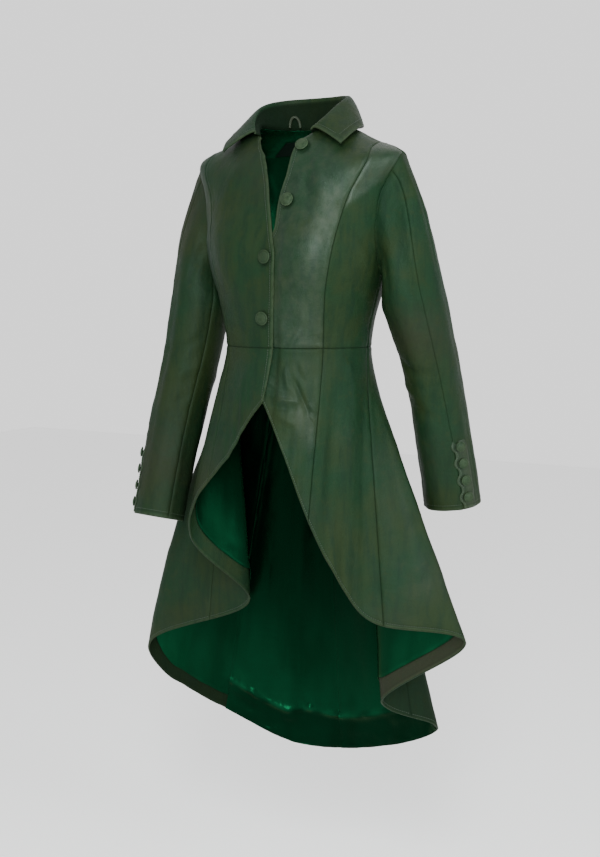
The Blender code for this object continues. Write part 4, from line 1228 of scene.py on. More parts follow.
        # Painted shadows round the buttons and on the left back skirt are added to the painted
        # shade of the seams, which fades near the armhole top and low on the right side.
        dark = np.maximum(self.button_shadow(name, side, points), self.shade(name, side, places))
        marks["painted_shade"] = np.maximum(marks["painted_shade"] * (1 - faded), dark)
        outer = points + normals * height[..., None]
        inner = outer - normals * self.wall
        self.grids[node] = outer
        self.normals[node] = normals
        piece = add_wall("leather_" + node, outer, inner, self.finishes.leather,
                         self.finishes.satin, marks)
        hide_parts(node)

    def build(self) -> None:
        """Builds every panel of both sides."""
        for side, side_name in SIDE_NAMES.items():
            for name, places in self.bodice_places(side).items():
                self.build_panel(f"bodice_{name}_{side_name}", name, side, places)
            for name, places in self.skirt_places(side).items():
                self.build_panel(f"{name}_{side_name}", name, side, places)
            LOG.info("%s panels built", side_name)


@dataclass
class Lining:
    """Satin lining of the skirt and the back bodice, and the leather facing of the hem."""

    finishes: Finishes
    body: BodyPanels
    depth: float = 0.0023
    satin_wall: float = 0.0008
    facing_wall: float = 0.0012
    facing_width: float = 0.026
    facing_rows: int = 22
    back_length: float = 0.75
    back_rows: int = 156
    back_columns: int = 108
    back_pull: float = 0.6
    tuck_height: float = 0.066
    tuck_wander: float = 0.010

    def facing_share(self, side: int, angle: np.ndarray) -> np.ndarray:
        """Share of the skirt's length that the facing covers, measured square to the hem."""
        step = FORM.hem(side, angle + 1) - FORM.hem(side, angle - 1)
        run = (FORM.surface(side, angle, -0.97) - FORM.surface(side, angle, -1.0)) / 0.03
        square = run - np.sum(run * unit(step), -1, keepdims=True) * unit(step)
        return np.clip(self.facing_width / np.linalg.norm(square, axis=-1), 0.02, 0.6)

    def satin_height(self, side: int, places: np.ndarray, points: np.ndarray,
                     hem_gap: np.ndarray, plain: bool) -> np.ndarray:
        """How far the satin stands in from the leather: loose falls, and puckers where it
        is eased onto the facing.

        Args:
            side: The coat's side.
            places: The grid's places.
            points: The grid's points.
            hem_gap: Distance to the lining's lower border.
            plain: Whether it is the smooth bodice lining.

        Returns:
            A height, never above 0.
        """
        drop = 0.25 if plain else 0.3 + ease(-places[..., 1])
        drawn = np.stack([places[..., 0] * side / 4.5 + 70, places[..., 1] * 1.6 + 3], -1)
        loose = 0.0022 * drop * (0.5 + 0.5 * lattice_noise(drawn, 41))
        crumple = 0.0005 * (0.5 + 0.5 * lattice_noise(points / 0.03, 42)) * drop
        ease_in = 0.0024 * (0.5 + 0.5 * lattice_noise(points / 0.011, 43))
        ease_in = ease_in * bump(hem_gap - 0.006, 0.016)
        return -(loose + crumple + (0 if plain else ease_in))

    def painted_shade_and_glint(self, node: str, side: int, places: np.ndarray) -> np.ndarray:
        """Painted shade on the satin: darkest in the depth of the skirt and least on the turned
        folds, with a darker band below the back tuck and painted glints along it.
        """
        angle, level = places[..., 0], places[..., 1]
        if node.startswith("lining_bodice"):
            return 0.30 * ease((0.85 - level) / 0.45)
        if node.startswith("lining_front"):
            patch = np.stack([angle * side / 9.0 + 15, level * 5.0 + 20], -1)
            near = 0.55 * (1 - ease((-level - 0.15) / 0.35))
            return np.clip(0.36 + near + 0.2 * lattice_noise(patch, 56), 0, 1)
        low = ease((-level - 0.25) / 0.75) ** 2
        back = ease((angle - 136) / 12)
        above = self.tuck_line(side, places)
        band = 0.30 * ease((0.004 - above) / 0.008) * back
        light = (0.40 if side == LEFT else 0.28) * ease((142 - angle) / 35)
        dark = 0.98 - low * (0.46 + light) + band
        patch = np.stack([angle * side / 3.0 + 50, above / 0.02 + 30], -1)
        glint = ease(0.2 + 0.9 * lattice_noise(patch, 55)) * bump(above - 0.002, 0.007)
        return np.clip(dark * (1 - 0.60 * glint * back), 0, 1)

    def tuck_line(self, side: int, places: np.ndarray) -> np.ndarray:
        """Height above the wandering line of the tuck, in metres."""
        turn = np.stack([places[..., 0] * side / 9 + 33, 0 * places[..., 1]], -1)
        wander = self.tuck_wander * lattice_noise(turn, 51)
        return (1 + places[..., 1]) * self.back_length - self.tuck_height - wander

    def hem_tuck(self, side: int, places: np.ndarray, points: np.ndarray) -> np.ndarray:
        """The puckered fold of slack satin that runs above the back hem."""
        line = self.tuck_line(side, places)
        lumps = 0.5 + 0.5 * lattice_noise(points / 0.014, 52)
        ridge = (0.0020 + 0.0060 * lumps ** 2) * bump(line, 0.0065)
        across = np.stack([places[..., 0] * side / 1.7 + 60, line / 0.030 + 20], -1)
        pleats = 0.0032 * (0.5 + 0.5 * lattice_noise(across, 53)) * bump(line - 0.010, 0.014)
        slack = np.stack([places[..., 0] * side / 5.0 + 80, line / 0.016 + 40], -1)
        folds = 0.0026 * lattice_noise(slack, 54) * bump(line + 0.020, 0.020)
        return -(ridge + pleats + np.maximum(folds, -0.0010))

    def add(self, name: str, node: str, side: int, places: np.ndarray, satin: bool,
            tuck: bool) -> None:
        """Adds one lining or facing piece inside the leather."""
        angle, level = places[..., 0], places[..., 1]
        points = FORM.surface(side, angle, level)
        normals = FORM.normal(side, angle, level)
        height = self.body.lean(side, places, points) - self.depth - FORM.lap(side, angle, level)
        plain = node.startswith("lining_bodice")
        borders = FOUR_SEWN if satin else (Border.SEWN, Border.TURNED, Border.SEWN, Border.SEWN)
        seams, marks = sewn_height(points, borders)
        height = height - abs(seams) * (0.8 if satin else 0.3)
        if satin:
            gap = border_distances(points)[1]
            height = height + self.satin_height(side, places, points, gap, plain)
            # Painted shade and painted glints of the satin.
            marks = {"painted_shade_and_glint": self.painted_shade_and_glint(node, side, places)}
        if tuck:
            height = height + self.hem_tuck(side, places, points)
        if not satin:
            # Facings are brown leather on the left. The right one, in the shadow of its turned
            # fold, gets little brown and a strong painted shade.
            marks["umber"] = np.full(height.shape, 0.95 if side == LEFT else 0.20)
            marks["painted_shade"] = np.maximum(marks["painted_shade"], 1.3 * (node == "facing_side_right"))
            marks["matt"] = np.ones(height.shape)
        wall = self.satin_wall if satin else self.facing_wall
        outer = points + normals * height[..., None]
        inner = outer - normals * wall
        material = self.finishes.satin if satin else self.finishes.leather
        piece = add_wall(name, outer, inner, material, material,
                         marks)
        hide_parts(node)

    def refined(self, places: np.ndarray, rows: int, columns: int, pull: float) -> np.ndarray:
        """Reads a grid at more places, with its rows closer together towards the last.

        Formula: the row wanted is the even share to a power, and each place is the
        straight blend of the grid's places on either side.

        Args:
            places: The grid of places.
            rows: Number of rows wanted.
            columns: Number of columns wanted.
            pull: The power; under 1 draws the rows to the last one.

        Returns:
            The finer grid.
        """
        for axis, shares in ((0, np.linspace(0, 1, rows) ** pull), (1, np.linspace(0, 1, columns))):
            places = np.moveaxis(places, axis, 0)
            index = shares * (len(places) - 1)
            low = np.minimum(index.astype(int), len(places) - 2)
            part = (index - low)[:, None, None]
            places = np.moveaxis(places[low] * (1 - part) + places[low + 1] * part, 0, axis)
        return places

    def rows(self, places: np.ndarray, side: int, facing: bool) -> np.ndarray:
        """Moves a skirt grid's rows to end at the facing's upper edge, or to cover the facing."""
        share = self.facing_share(side, places[-1, :, 0])
        part = -places[..., 1]
        if facing:
            level = -(1 - share) - 0.0008 - part * (share - 0.0018)
            return np.stack([np.broadcast_to(places[-1:, :, 0], level.shape), level], -1)
        return np.stack([places[..., 0], -part * (1 - share)], -1)

    def build(self) -> None:
        """Builds the lining and facing of both sides."""
        for side, side_name in SIDE_NAMES.items():
            bodice = self.body.bodice_places(side)
            skirt = self.body.skirt_places(side)
            for name in ("side_back", "back"):
                node = f"lining_bodice_{name}_{side_name}"
                self.add("satin_" + node, node, side, bodice[name][::2], True, False)
            front = np.concatenate([skirt["skirt_front"], skirt["skirt_side_front"][:, 1:]], 1)
            for name, places in (("front", front), ("side", skirt["skirt_side_back"])):
                node = f"lining_{name}_{side_name}"
                self.add("satin_" + node, node, side, self.rows(places, side, False), True, False)
                node = f"facing_{name}_{side_name}"
                kept = np.linspace(0, len(places) - 1, self.facing_rows).astype(int)
                chosen = places[kept]
                self.add("leather_" + node, node, side, self.rows(chosen, side, True), False, False)
            node = f"lining_back_{side_name}"
            places = self.refined(skirt["skirt_back"], self.back_rows, self.back_columns,
                                  self.back_pull)
            self.add("satin_" + node, node, side, places, True, True)
            LOG.info("%s lining built", side_name)


def carried_tube(path: np.ndarray, across: np.ndarray, upward: np.ndarray, half_wide: float,
                 half_high: float, sides: int = 10) -> tuple[np.ndarray, np.ndarray]:
    """An oval profile carried along a path, with closed ends.

    Formula: path point plus the cosine of the turn times the half width across, plus its
    sine times the half height upward.

    Args:
        path: Points of the path.
        across: Unit vectors across it.
        upward: Unit vectors above it.
        half_wide: Half width of the oval.
        half_high: Half height of the oval.
        sides: Corners of the oval.

    Returns:
        Points and four-cornered faces.
    """
    turn = np.linspace(0, 2 * np.pi, sides, endpoint=False)
    ring = path[:, None] + across[:, None] * (half_wide * np.cos(turn))[None, :, None]
    ring = ring + upward[:, None] * (half_high * np.sin(turn))[None, :, None]
    first, last = (np.broadcast_to(end, (1, sides, 3)) for end in (path[0], path[-1]))
    ring = np.concatenate([first, ring, last])
    faces = tube_faces(len(ring), sides)
    tangent = path[1] - path[0]
    if np.dot(np.cross(across[0], upward[0]), tangent) > 0:
        faces = faces[:, ::-1]
    return ring.reshape(-1, 3), faces


@dataclass
class Trim:
    """Turned edges and topstitching along borders of the leather panels."""

    finishes: Finishes
    roll_depth: float = 0.00185
    roll_width: float = 0.0014
    roll_sink: float = 0.0001
    stitch_pitch: float = 0.0040
    stitch_length: float = 0.0029
    stitch_wide: float = 0.00042
    stitch_high: float = 0.00036
    stitch_lift: float = 0.0002
    stitch_sides: int = 6
    # Share of the half length and of the girth, from one end of a stitch to the other
    stitch_sections: tuple[tuple[float, float], ...] = (
        (-1.0, 0.05), (-0.72, 0.8), (0.0, 1.0), (0.72, 0.8), (1.0, 0.05))

    def edge_roll(self, name: str, edge: np.ndarray, inside: np.ndarray, normal: np.ndarray,
                  lightening: float = 0.7) -> None:
        """Rounded turn of leather along a free edge.

        Args:
            name: The piece's name.
            edge: Points of the edge, on the outer face.
            inside: Points a little in from it, which give the way across.
            normal: Outward normals along it.
            lightening: How rubbed it is.
        """
        across = unit(edge - inside)
        across = unit(across - np.sum(across * normal, -1, keepdims=True) * normal)
        path = edge - normal * self.roll_sink
        points, faces = carried_tube(path, across, normal, self.roll_width, self.roll_depth)
        marks = {"edge": np.full(len(points), lightening), "painted_shade": np.zeros(len(points)),
                 "umber": np.full(len(points), 0.4), "matt": np.full(len(points), 0.8)}
        add_piece(name, points, faces, (self.finishes.leather,), None, marks)

    def stitches(self, name: str, path: np.ndarray, normal: np.ndarray) -> None:
        """A row of separate stitches: small lozenges, evenly spaced by length.

        Args:
            name: The piece's name.
            path: Points of the stitch line on the leather.
            normal: Outward normals along it.
        """
        total = run_length(path)
        middle = np.arange(self.stitch_pitch, total[-1] - self.stitch_pitch, self.stitch_pitch)
        at = read_line(middle, total, path)
        up = unit(read_line(middle, total, normal))
        along = unit(read_line(middle + 0.001, total, path) - at)
        across = np.cross(up, along)
        station, girth = np.array(self.stitch_sections).T
        turn = np.linspace(0, 2 * np.pi, self.stitch_sides, endpoint=False)
        forward, sideways, upward = (way[:, None, None] for way in (along, across, up))
        girth = girth[:, None]
        ring = station[None, :, None, None] * forward * self.stitch_length / 2
        ring = ring + (girth * np.cos(turn))[None, ..., None] * sideways * self.stitch_wide
        ring = ring + (girth * np.sin(turn))[None, ..., None] * upward * self.stitch_high
        sunk = self.stitch_lift * (1 - girth)[None, ..., None] * upward
        points = at[:, None, None] + upward * self.stitch_lift + ring - sunk
        faces = tube_faces(len(station), self.stitch_sides)
        first = np.arange(len(at)) * len(station) * self.stitch_sides
        every = (faces[None] + first[:, None, None]).reshape(-1, 4)
        add_piece(name, points.reshape(-1, 3), every, (self.finishes.thread,))

    def dress_panels(self, body: BodyPanels) -> None:
        """Rolls and stitches on the front edges and the hem."""
        for side_name in SIDE_NAMES.values():
            front = body.grids[f"bodice_front_{side_name}"]
            normal = body.normals[f"bodice_front_{side_name}"]
            self.edge_roll(f"front_edge_{side_name}", front[:, 0], front[:, 3], normal[:, 0])
            self.stitches(f"front_stitches_{side_name}", front[:, STITCH_LINE],
                          normal[:, STITCH_LINE])
            skirt = body.grids[f"skirt_front_{side_name}"]
            normal = body.normals[f"skirt_front_{side_name}"]
            self.edge_roll(f"skirt_edge_{side_name}", skirt[:, 0], skirt[:, 3], normal[:, 0])
            self.stitches(f"skirt_stitches_{side_name}", skirt[:-STITCH_LINE, STITCH_LINE],
                          normal[:-STITCH_LINE, STITCH_LINE])
            for name in SKIRT_CUTS:
                grid = body.grids[f"{name}_{side_name}"]
                normal = body.normals[f"{name}_{side_name}"]
                self.edge_roll(f"hem_edge_{name}_{side_name}", grid[-1], grid[-4], normal[-1], 0.2)
                row = -1 - STITCH_LINE
                self.stitches(f"hem_stitches_{name}_{side_name}", grid[row], normal[row])
        LOG.info("edges turned and stitched")


@dataclass
class Sleeves:
    """Two-piece sleeves, tucked under the bodice at the armhole, with their wrist strips
    and rolled wrist edges."""

    finishes: Finishes
    trim: Trim
    wall: float = 0.0016
    back_seam: float = 48.0
    front_seam: float = 150.0
    vent_length: float = 0.122
    vent_back: float = 20.0
    vent_edge: float = 50.0
    vent_scallop: float = 3.5
    vent_lift: float = 0.0008
    vent_wall: float = 0.0014
    vent_fade: float = 0.016
    button_first: float = 0.020
    button_spacing: float = 0.0297
    rows: int = 120
    head_flatness: float = 0.0055
    head_middle: float = 0.28
    head_spread: float = 0.24
    tuck_reach: float = 0.0022
    tuck_depth: float = 0.0017
    tuck_wall: float = 0.0004

    def place_grid(self, side: int, start: float, end: float,
                   columns: int) -> tuple[np.ndarray, np.ndarray]:
        """Turns and stations of one piece, with fixed distances at its borders."""
        first = FORM.first_station
        tried = np.linspace(first, 2, self.rows)
        rough = FORM.sleeve(side, np.linspace(start, end, 25)[None], tried[:, None])
        widths = np.linalg.norm(np.diff(rough, axis=1), axis=-1).sum(1)
        lengths = np.linalg.norm(np.diff(rough, axis=0), axis=-1).sum(0)
        shares = graded(np.linspace(0, 1, self.rows), np.array([lengths.mean()]))[:, 0]
        stations = first + (2 - first) * shares
        width = np.interp(stations, tried, widths)
        share = graded(np.linspace(0, 1, columns), width).T
        turn = start + (end - start) * share
        return turn, np.broadcast_to(stations[:, None], turn.shape)

    def long_falls(self, side: int, turn: np.ndarray, station: np.ndarray) -> np.ndarray:
        """Soft lengthwise hollows of the arm."""
        drawn = np.stack([np.mod(turn, 360) / 24.0 + 12 * side, station * 1.7], -1)
        return 0.0016 * lattice_noise(drawn, 61) * ease(station / 0.4)

    def umber(self, side: int, points: np.ndarray) -> np.ndarray:
        """Brown tint of the dye in patches."""
        patch = 0.22 + 0.45 * lattice_noise(points / 0.11, 62)
        return np.clip(patch + (0.15 if side == RIGHT else 0.0), 0, 1)

    def build_piece(self, side: int, name: str, start: float, end: float, columns: int) -> None:
        """Builds the front or back piece of a sleeve."""
        turn, station = self.place_grid(side, start, end, columns)
        points = FORM.sleeve(side, turn, station)
        normals = FORM.sleeve_normal(side, turn, station)
        borders = (Border.COVERED, Border.TURNED, Border.SEWN, Border.SEWN)
        height, marks = sewn_height(points, borders)
        creases = crease_height(points, side, SLEEVE_CREASES, True)
        hollows = soft_unevenness(points) + self.long_falls(side, turn, station)
        height = height + creases * ease(station / 0.10) + hollows * ease(station / 0.06)
        upper = np.maximum(np.cos(np.radians(turn)), 0) * ease(station / 0.10)
        flat = bump(station - self.head_middle, self.head_spread) * upper
        height = height - self.head_flatness * flat
        marks["umber"] = self.umber(side, points)
        # The painted shade of the seams is halved on the sleeves.
        marks["painted_shade"] = marks["painted_shade"] * 0.5
        marks["matt"] = np.clip(0.90 + 0.25 * lattice_noise(points / 0.05, 63), 0, 1)
        outer = points + normals * height[..., None]
        tucked, beneath = self.seam_allowance(side, turn[0])
        whole = np.concatenate([tucked[None], outer])
        inner = np.concatenate([beneath[None], outer - normals * self.wall])
        marks = {key: np.concatenate([value[:1], value]) for key, value in marks.items()}
        own = f"{name}_{SIDE_NAMES[side]}"
        node = "sleeve_" + own
        piece = add_wall("leather_" + node, whole, inner, self.finishes.leather,
                         self.finishes.satin, marks)
        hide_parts(node)
        self.trim.edge_roll("wrist_edge_" + own, outer[-1], outer[-4], normals[-1])
        row = -1 - STITCH_LINE
        self.trim.stitches("wrist_stitches_" + own, outer[row], normals[row])

    def seam_allowance(self, side: int, turn: np.ndarray) -> tuple[np.ndarray, np.ndarray]:
        """Both faces of the sleeve head's edge, which lies under the bodice round the armhole."""
        places = FORM.armhole(turn)
        rim = FORM.surface(side, places[:, 0], places[:, 1])
        normal = FORM.normal(side, places[:, 0], places[:, 1])
        hole = FORM.armhole(np.linspace(0, 350, 36))
        away = rim - FORM.surface(side, hole[:, 0], hole[:, 1]).mean(0)
        away = unit(away - np.sum(away * normal, -1, keepdims=True) * normal)
        tucked = rim + away * self.tuck_reach - normal * self.tuck_depth
        return tucked, tucked - normal * self.tuck_wall

    def strip_edge(self, heights: np.ndarray) -> np.ndarray:
        """Turn of the strip's scalloped edge: a wave with its tops at the buttons."""
        wave = np.cos(2 * np.pi * (heights - self.button_first) / self.button_spacing)
        soft = np.sign(wave) * abs(wave) ** 0.8
        return self.vent_edge + self.vent_scallop * soft

    def build_strip(self, side: int) -> None:
        """Builds the scalloped strip at a wrist."""
        length = FORM.arm_length(side)
        heights = np.linspace(0.001, self.vent_length, 130)
        share = graded(np.linspace(0, 1, 16), np.full(130, 0.022)).T
        edge = self.strip_edge(heights)
        turn = self.vent_back + (edge[:, None] - self.vent_back) * share
        station = np.broadcast_to((2 - heights / length)[:, None], turn.shape)
        points = FORM.sleeve(side, turn, station)
        normals = FORM.sleeve_normal(side, turn, station)
        creases = crease_height(points, side, SLEEVE_CREASES, True) + soft_unevenness(points)
        creases = creases + self.long_falls(side, turn, station)
        borders = (Border.TURNED, Border.COVERED, Border.SEWN, Border.TURNED)
        seams, marks = sewn_height(points, borders)
        rise = ease((self.vent_length - heights) / self.vent_fade)[:, None]
        height = self.vent_lift + self.vent_wall + np.clip(seams, -self.vent_wall * 0.7, 1)
        height = creases + height * rise - 0.0003 * (1 - rise)
        marks["edge"] = marks["edge"] * rise
        marks["umber"] = np.full(turn.shape, 0.35)
        outer = points + normals * height[..., None]
        inner = points + normals * (np.minimum(creases + 0.0001, height - 0.0004))[..., None]
        node = f"vent_strip_{SIDE_NAMES[side]}"
        piece = add_wall("leather_" + node, outer, inner, self.finishes.leather,
                         self.finishes.leather, marks)
        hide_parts(node)
        line = (slice(4, -18), -5)
        self.trim.stitches(f"strip_stitches_{SIDE_NAMES[side]}", outer[line], normals[line])

    def build(self) -> None:
        """Builds both sleeves."""
        for side, side_name in SIDE_NAMES.items():
            self.build_piece(side, "front", self.back_seam, self.front_seam, 30)
            self.build_piece(side, "back", self.front_seam, self.back_seam + 360, 58)
            self.build_strip(side)
            LOG.info("%s sleeve built", side_name)


@dataclass
class Collar:
    """Collar stand and fall, with a rolled edge and topstitching."""

    finishes: Finishes
    trim: Trim
    left_start: float = 46.0
    right_start: float = 45.0
    stand_drop: float = 0.0025
    drop_start: float = 70.0
    drop_span: float = 30.0

    def grid(self, low: float, high: float, rows: int) -> tuple[np.ndarray, np.ndarray]:
        """Signed angles and shares of one part."""
        span = np.array([0.075 if high > 1 else 0.045])
        s = low + (high - low) * graded(np.linspace(0, 1, rows), span)[:, 0]
        turn = graded(np.linspace(0, 1, 150), np.array([0.42]))[:, 0]
        angle = self.left_start + (360 - self.right_start - self.left_start) * turn
        angle = np.where(angle > 180, angle - 360, angle)
        return np.meshgrid(angle, s)

    def build_part(self, node: str, low: float, high: float, rows: int,
                   borders: tuple[Border, Border, Border, Border]) -> None:
        """Builds the stand or the fall."""
        angle, s = self.grid(low, high, rows)
        points = FORM.collar(angle, s)
        normals = FORM.collar_normal(angle, s)
        height, marks = sewn_height(points, borders)
        soft = soft_unevenness(points) * 0.8
        height = np.minimum(height + soft * ease(abs(s - 1) / 0.25) - 0.0002, 0.0012)
        marks["umber"] = np.clip(0.15 + 0.4 * lattice_noise(points / 0.06, 71), 0, 1)
        marks["matt"] = np.full(s.shape, 0.85)
        outer = points + normals * height[..., None]
        is_stand = high < 1.5
        if is_stand:
            # Painted shade over the whole stand, which sits in the shadow of the fall.
            marks["painted_shade"] = np.maximum(marks["painted_shade"], 1.35 * ease((1.0 - s) / 0.12))
            back = ease((abs(angle[0]) - self.drop_start) / self.drop_span)
            outer[0, :, 2] -= self.stand_drop * back
        inner = outer - normals * FORM.collar_wall
        piece = add_wall("leather_" + node, outer, inner, self.finishes.leather,
                         self.finishes.leather, marks)
        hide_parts(node)
        if is_stand:
            return
        self.trim.edge_roll("collar_edge", outer[-1], outer[-4], normals[-1])
        self.trim.edge_roll("collar_end_left", outer[:, 0], outer[:, 3], normals[:, 0])
        self.trim.edge_roll("collar_end_right", outer[:, -1], outer[:, -4], normals[:, -1])
        k = STITCH_LINE
        self.trim.stitches("collar_stitches", outer[-1 - k, k:-k], normals[-1 - k, k:-k])
        self.trim.stitches("collar_end_stitches_left", outer[k:-k, k], normals[k:-k, k])
        self.trim.stitches("collar_end_stitches_right", outer[k:-k, -1 - k], normals[k:-k, -1 - k])

    def build(self) -> None:
        """Builds both parts."""
        turned = (Border.COVERED, Border.TURNED, Border.TURNED, Border.TURNED)
        plain = (Border.SEWN, Border.COVERED, Border.COVERED, Border.COVERED)
        self.build_part("collar_stand", 0.0, 0.999, 24, plain)
        self.build_part("collar_fall", 0.999, 2.0, 44, turned)
        LOG.info("collar built")


@dataclass(frozen=True)
class ButtonPlace:
    """Where a covered button stands."""

    node: str
    middle: np.ndarray
    normal: np.ndarray
    radius: float
    # How much lighter the top is: partly wear, partly painted highlight.
    lightening: float


@dataclass
class Buttons:
    """Leather-covered buttons with a pressed ring and a soft dome."""

    finishes: Finishes
    body: BodyPanels
    sleeves: Sleeves
    cuff_radius: float = 0.0090
    cuff_count: int = 4
    cuff_turn: float = 36.0
    cuff_lift: float = 0.0024
    # Lighter cuff button tops: partly wear, partly painted highlight.
    cuff_lightening: float = 0.70
    segments: int = 48
    uneven_height: float = 0.00018
    uneven_size: float = 0.006
    noise_field: int = 81
    noise_step: float = 7.3

    def profile(self, radius: float) -> np.ndarray:
        """Section of a button: share of the radius and height, from the top round to the shank."""
        rows = np.array([
            (0.00, 0.0058), (0.25, 0.00572), (0.50, 0.0054), (0.68, 0.0049), (0.76, 0.00445),
            (0.80, 0.00430), (0.85, 0.00450), (0.92, 0.00440), (0.98, 0.0038), (1.00, 0.0031),
            (0.98, 0.0024), (0.90, 0.0018), (0.62, 0.0013), (0.30, 0.0011), (0.28, -0.0010),
            (0.00, -0.0010),
        ])
        rows[:, 0] *= radius
        return rows

    def build_one(self, place: ButtonPlace, seed: int) -> None:
        """Turns the section about the button's axis, with slight unevenness of the leather."""
        rows = self.profile(place.radius)
        turn = np.linspace(0, 2 * np.pi, self.segments, endpoint=False)
        ring = np.stack([rows[:, :1] * np.cos(turn), rows[:, :1] * np.sin(turn),
                         np.broadcast_to(rows[:, 1:], (len(rows), self.segments))], -1)
        where = ring / self.uneven_size + seed * self.noise_step
        uneven = lattice_noise(where, self.noise_field + seed) * self.uneven_height
        ring[..., 2] += uneven * (rows[:, :1] / place.radius < 0.99)
        up = unit(place.normal)
        side_way = unit(np.cross(np.array([0.0, 0.0, 1.0]), up))
        basis = np.stack([side_way, np.cross(up, side_way), up])
        points = (ring.reshape(-1, 3) @ basis) + place.middle
        index = np.arange(len(points)).reshape(len(rows), self.segments)
        after = np.roll(index, -1, axis=1)
        faces = np.stack([index[:-1], index[1:], after[1:], after[:-1]], -1).reshape(-1, 4)
        share = np.broadcast_to(rows[:, :1] / place.radius, (len(rows), self.segments)).ravel()
        # The top is made lighter by its value, and more at the rim: partly wear, partly a painted
        # highlight on the lit dome. The pressed ring is darkened with painted shade.
        marks = {"edge": place.lightening + 0.35 * bump(share - 0.93, 0.08),
                 "painted_shade": 0.5 * bump(share - 0.79, 0.04),
                 "umber": np.full(len(points), 0.1), "matt": np.full(len(points), 0.5)}
        piece = add_piece("covered_" + place.node, points, faces, (self.finishes.leather,),
                          None, marks)
        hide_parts(place.node)

    def seat(self, node: str, target: np.ndarray) -> tuple[np.ndarray, np.ndarray]:
        """Nearest point of a panel's grid to a target, and the normal there."""
        grid = self.body.grids[node].reshape(-1, 3)
        nearest = np.argmin(np.linalg.norm(grid - target, axis=-1))
        return grid[nearest], self.body.normals[node].reshape(-1, 3)[nearest]

    def build(self) -> None:
        """Builds the front and cuff buttons."""
        seed = 0
        for node, side, angle, level, lightening in FRONT_BUTTONS:
            target = FORM.surface(side, np.array(angle), np.array(level))
            middle, normal = self.seat(f"bodice_front_{SIDE_NAMES[side]}", target)
            self.build_one(ButtonPlace(node, middle, normal, FRONT_BUTTON_RADIUS, lightening), seed)
            seed += 1
        for side, side_name in SIDE_NAMES.items():
            for i in range(self.cuff_count):
                height = self.sleeves.button_first + i * self.sleeves.button_spacing
                station = np.array(2 - height / FORM.arm_length(side))
                turn = np.array(self.cuff_turn)
                normal = FORM.sleeve_normal(side, turn, station)
                middle = FORM.sleeve(side, turn, station) + normal * self.cuff_lift
                node = f"cuff_button_{side_name}_{i + 1}"
                place = ButtonPlace(node, middle, normal, self.cuff_radius, self.cuff_lightening)
                self.build_one(place, seed)
                seed += 1
        LOG.info("%d buttons built", seed)


@dataclass
class NeckTrim:
    """Hanger loop at the back neck, and the plain patch under it."""

    finishes: Finishes
    angle: float = 144.0
    half_span: float = 8.0
    low: float = 0.03
    high: float = 0.42
    radius: float = 0.0016
    clearance: float = 0.0010

    def build(self) -> None:
        """Builds the loop, and gives the patch its cloth."""
        turn = np.linspace(0, np.pi, 60)
        angle = -(self.angle + self.half_span * np.cos(turn))
        share = self.low + (self.high - self.low) * np.sin(turn)
        normal = FORM.collar_normal(angle, share)
        path = FORM.collar(angle, share) + normal * (self.radius + self.clearance)
        tangent = unit(np.gradient(path, axis=0))
        across = unit(np.cross(normal, tangent))
        points, faces = carried_tube(path, across, normal, self.radius * 1.5, self.radius * 0.8, 12)
        marks = {"edge": np.full(len(points), 0.2), "painted_shade": np.zeros(len(points)),
                 "umber": np.full(len(points), 0.7)}
        piece = add_piece("leather_loop", points, faces, (self.finishes.leather,),
                          None, marks)
        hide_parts("hanger_loop")
        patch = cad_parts["neck_label"]
        patch.data.materials.clear()
        patch.data.materials.append(self.finishes.label)
        LOG.info("neck trim built")


LIGHTS = (
    # name, place, aim, size, power, colour
    ("key", (1.15, -2.35, 0.55), (0.02, 0.0, -0.20), (0.5, 2.4), 130.0, (0.93, 1.0, 0.97)),
    ("side", (2.5, -0.5, 0.15), (0.12, -0.05, -0.15), (0.6, 1.4), 38.0, (0.92, 1.0, 0.98)),
    ("top", (0.0, 0.4, 2.2), (0.0, 0.0, -0.3), (1.4, 1.4), 5.0, (1.0, 1.0, 1.0)),
)


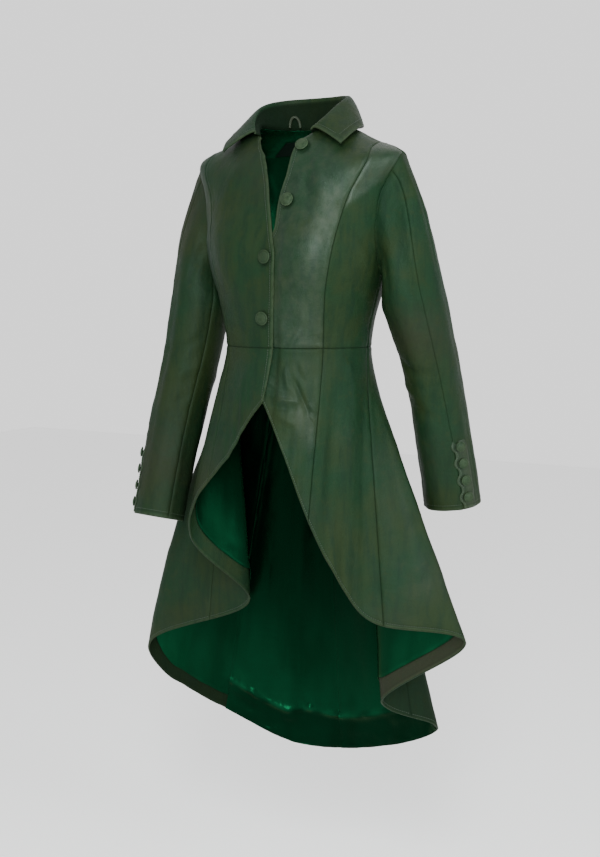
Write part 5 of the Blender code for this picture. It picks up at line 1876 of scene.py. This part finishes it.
@dataclass
class Studio:
    """Pale floor and backdrop, soft lights, and the camera."""

    floor_z: float = -1.42
    floor_half: float = 6.0
    sky_strength: float = 1.4
    camera_at: tuple[float, float, float] = (1.1, -1.905, -0.25)
    camera_turn: float = 30.0
    camera_pitch: float = 6.5
    focal_pixels: float = 1265.0
    frame_height: float = 857.0
    sensor: float = 36.0

    @staticmethod
    def light(name: str, at: tuple[float, float, float], aim: tuple[float, float, float],
              size: tuple[float, float], power: float,
              colour: tuple[float, float, float]) -> None:
        """Adds a soft box.

        Args:
            name: Its name.
            at: Where it stands.
            aim: What it faces.
            size: Its width and height.
            power: Its power in watts.
            colour: Its colour.
        """
        lamp = bpy.data.lights.new(name, "AREA")
        lamp.shape = "RECTANGLE"
        lamp.size, lamp.size_y = size
        lamp.energy = power
        lamp.color = colour
        holder = bpy.data.objects.new(name, lamp)
        bpy.context.scene.collection.objects.link(holder)
        facing = (Vector(aim) - Vector(at)).to_track_quat("-Z", "Y").to_matrix().to_4x4()
        holder.matrix_world = Matrix.Translation(Vector(at)) @ facing

    def build(self) -> None:
        """Builds the studio."""
        half = self.floor_half
        corners = np.array([(-half, -half), (half, -half), (half, half), (-half, half)])
        points = np.concatenate([corners, np.full((4, 1), self.floor_z)], 1)
        mesh = bpy.data.meshes.new("studio_floor")
        mesh.from_pydata(points.tolist(), [], [(0, 1, 2, 3)])
        tree = ShaderTree("Pale floor")
        tree.set(Base_Color=(0.90, 0.90, 0.90, 1.0), Roughness=0.8)
        mesh.materials.append(tree.material)
        floor = bpy.data.objects.new("studio_floor", mesh)
        bpy.context.scene.collection.objects.link(floor)
        world = bpy.data.worlds.new("Studio")
        world.use_nodes = True
        background = world.node_tree.nodes["Background"]
        background.inputs["Color"].default_value = (1.0, 1.0, 1.0, 1.0)
        background.inputs["Strength"].default_value = self.sky_strength
        bpy.context.scene.world = world
        for row in LIGHTS:
            self.light(*row)
        lens = bpy.data.cameras.new("camera")
        lens.sensor_fit = "VERTICAL"
        lens.sensor_height = self.sensor
        lens.lens = self.focal_pixels / self.frame_height * self.sensor
        camera = bpy.data.objects.new("camera", lens)
        bpy.context.scene.collection.objects.link(camera)
        turn = Matrix.Rotation(np.radians(self.camera_turn), 4, "Z")
        tilt = Matrix.Rotation(np.radians(90 - self.camera_pitch), 4, "X")
        camera.matrix_world = Matrix.Translation(Vector(self.camera_at)) @ turn @ tilt
        bpy.context.scene.camera = camera
        LOG.info("studio built")


def write_sizes() -> None:
    """Defines a helper that turns a box into plain lists of numbers, and writes nothing."""
    def plain(box: Iterable) -> list:
        return [[float(value) for value in corner] for corner in box]


def main() -> None:
    """Builds the dressed coat and its studio."""
    logging.basicConfig(level=logging.INFO, format="%(name)s: %(message)s")
    finishes = Finishes()
    body = BodyPanels(finishes)
    body.build()
    Lining(finishes, body).build()
    trim = Trim(finishes)
    trim.dress_panels(body)
    sleeves = Sleeves(finishes, trim)
    sleeves.build()
    Collar(finishes, trim).build()
    Buttons(finishes, body, sleeves).build()
    NeckTrim(finishes).build()
    Studio().build()
    write_sizes()


if __name__ == "__main__":
    main()
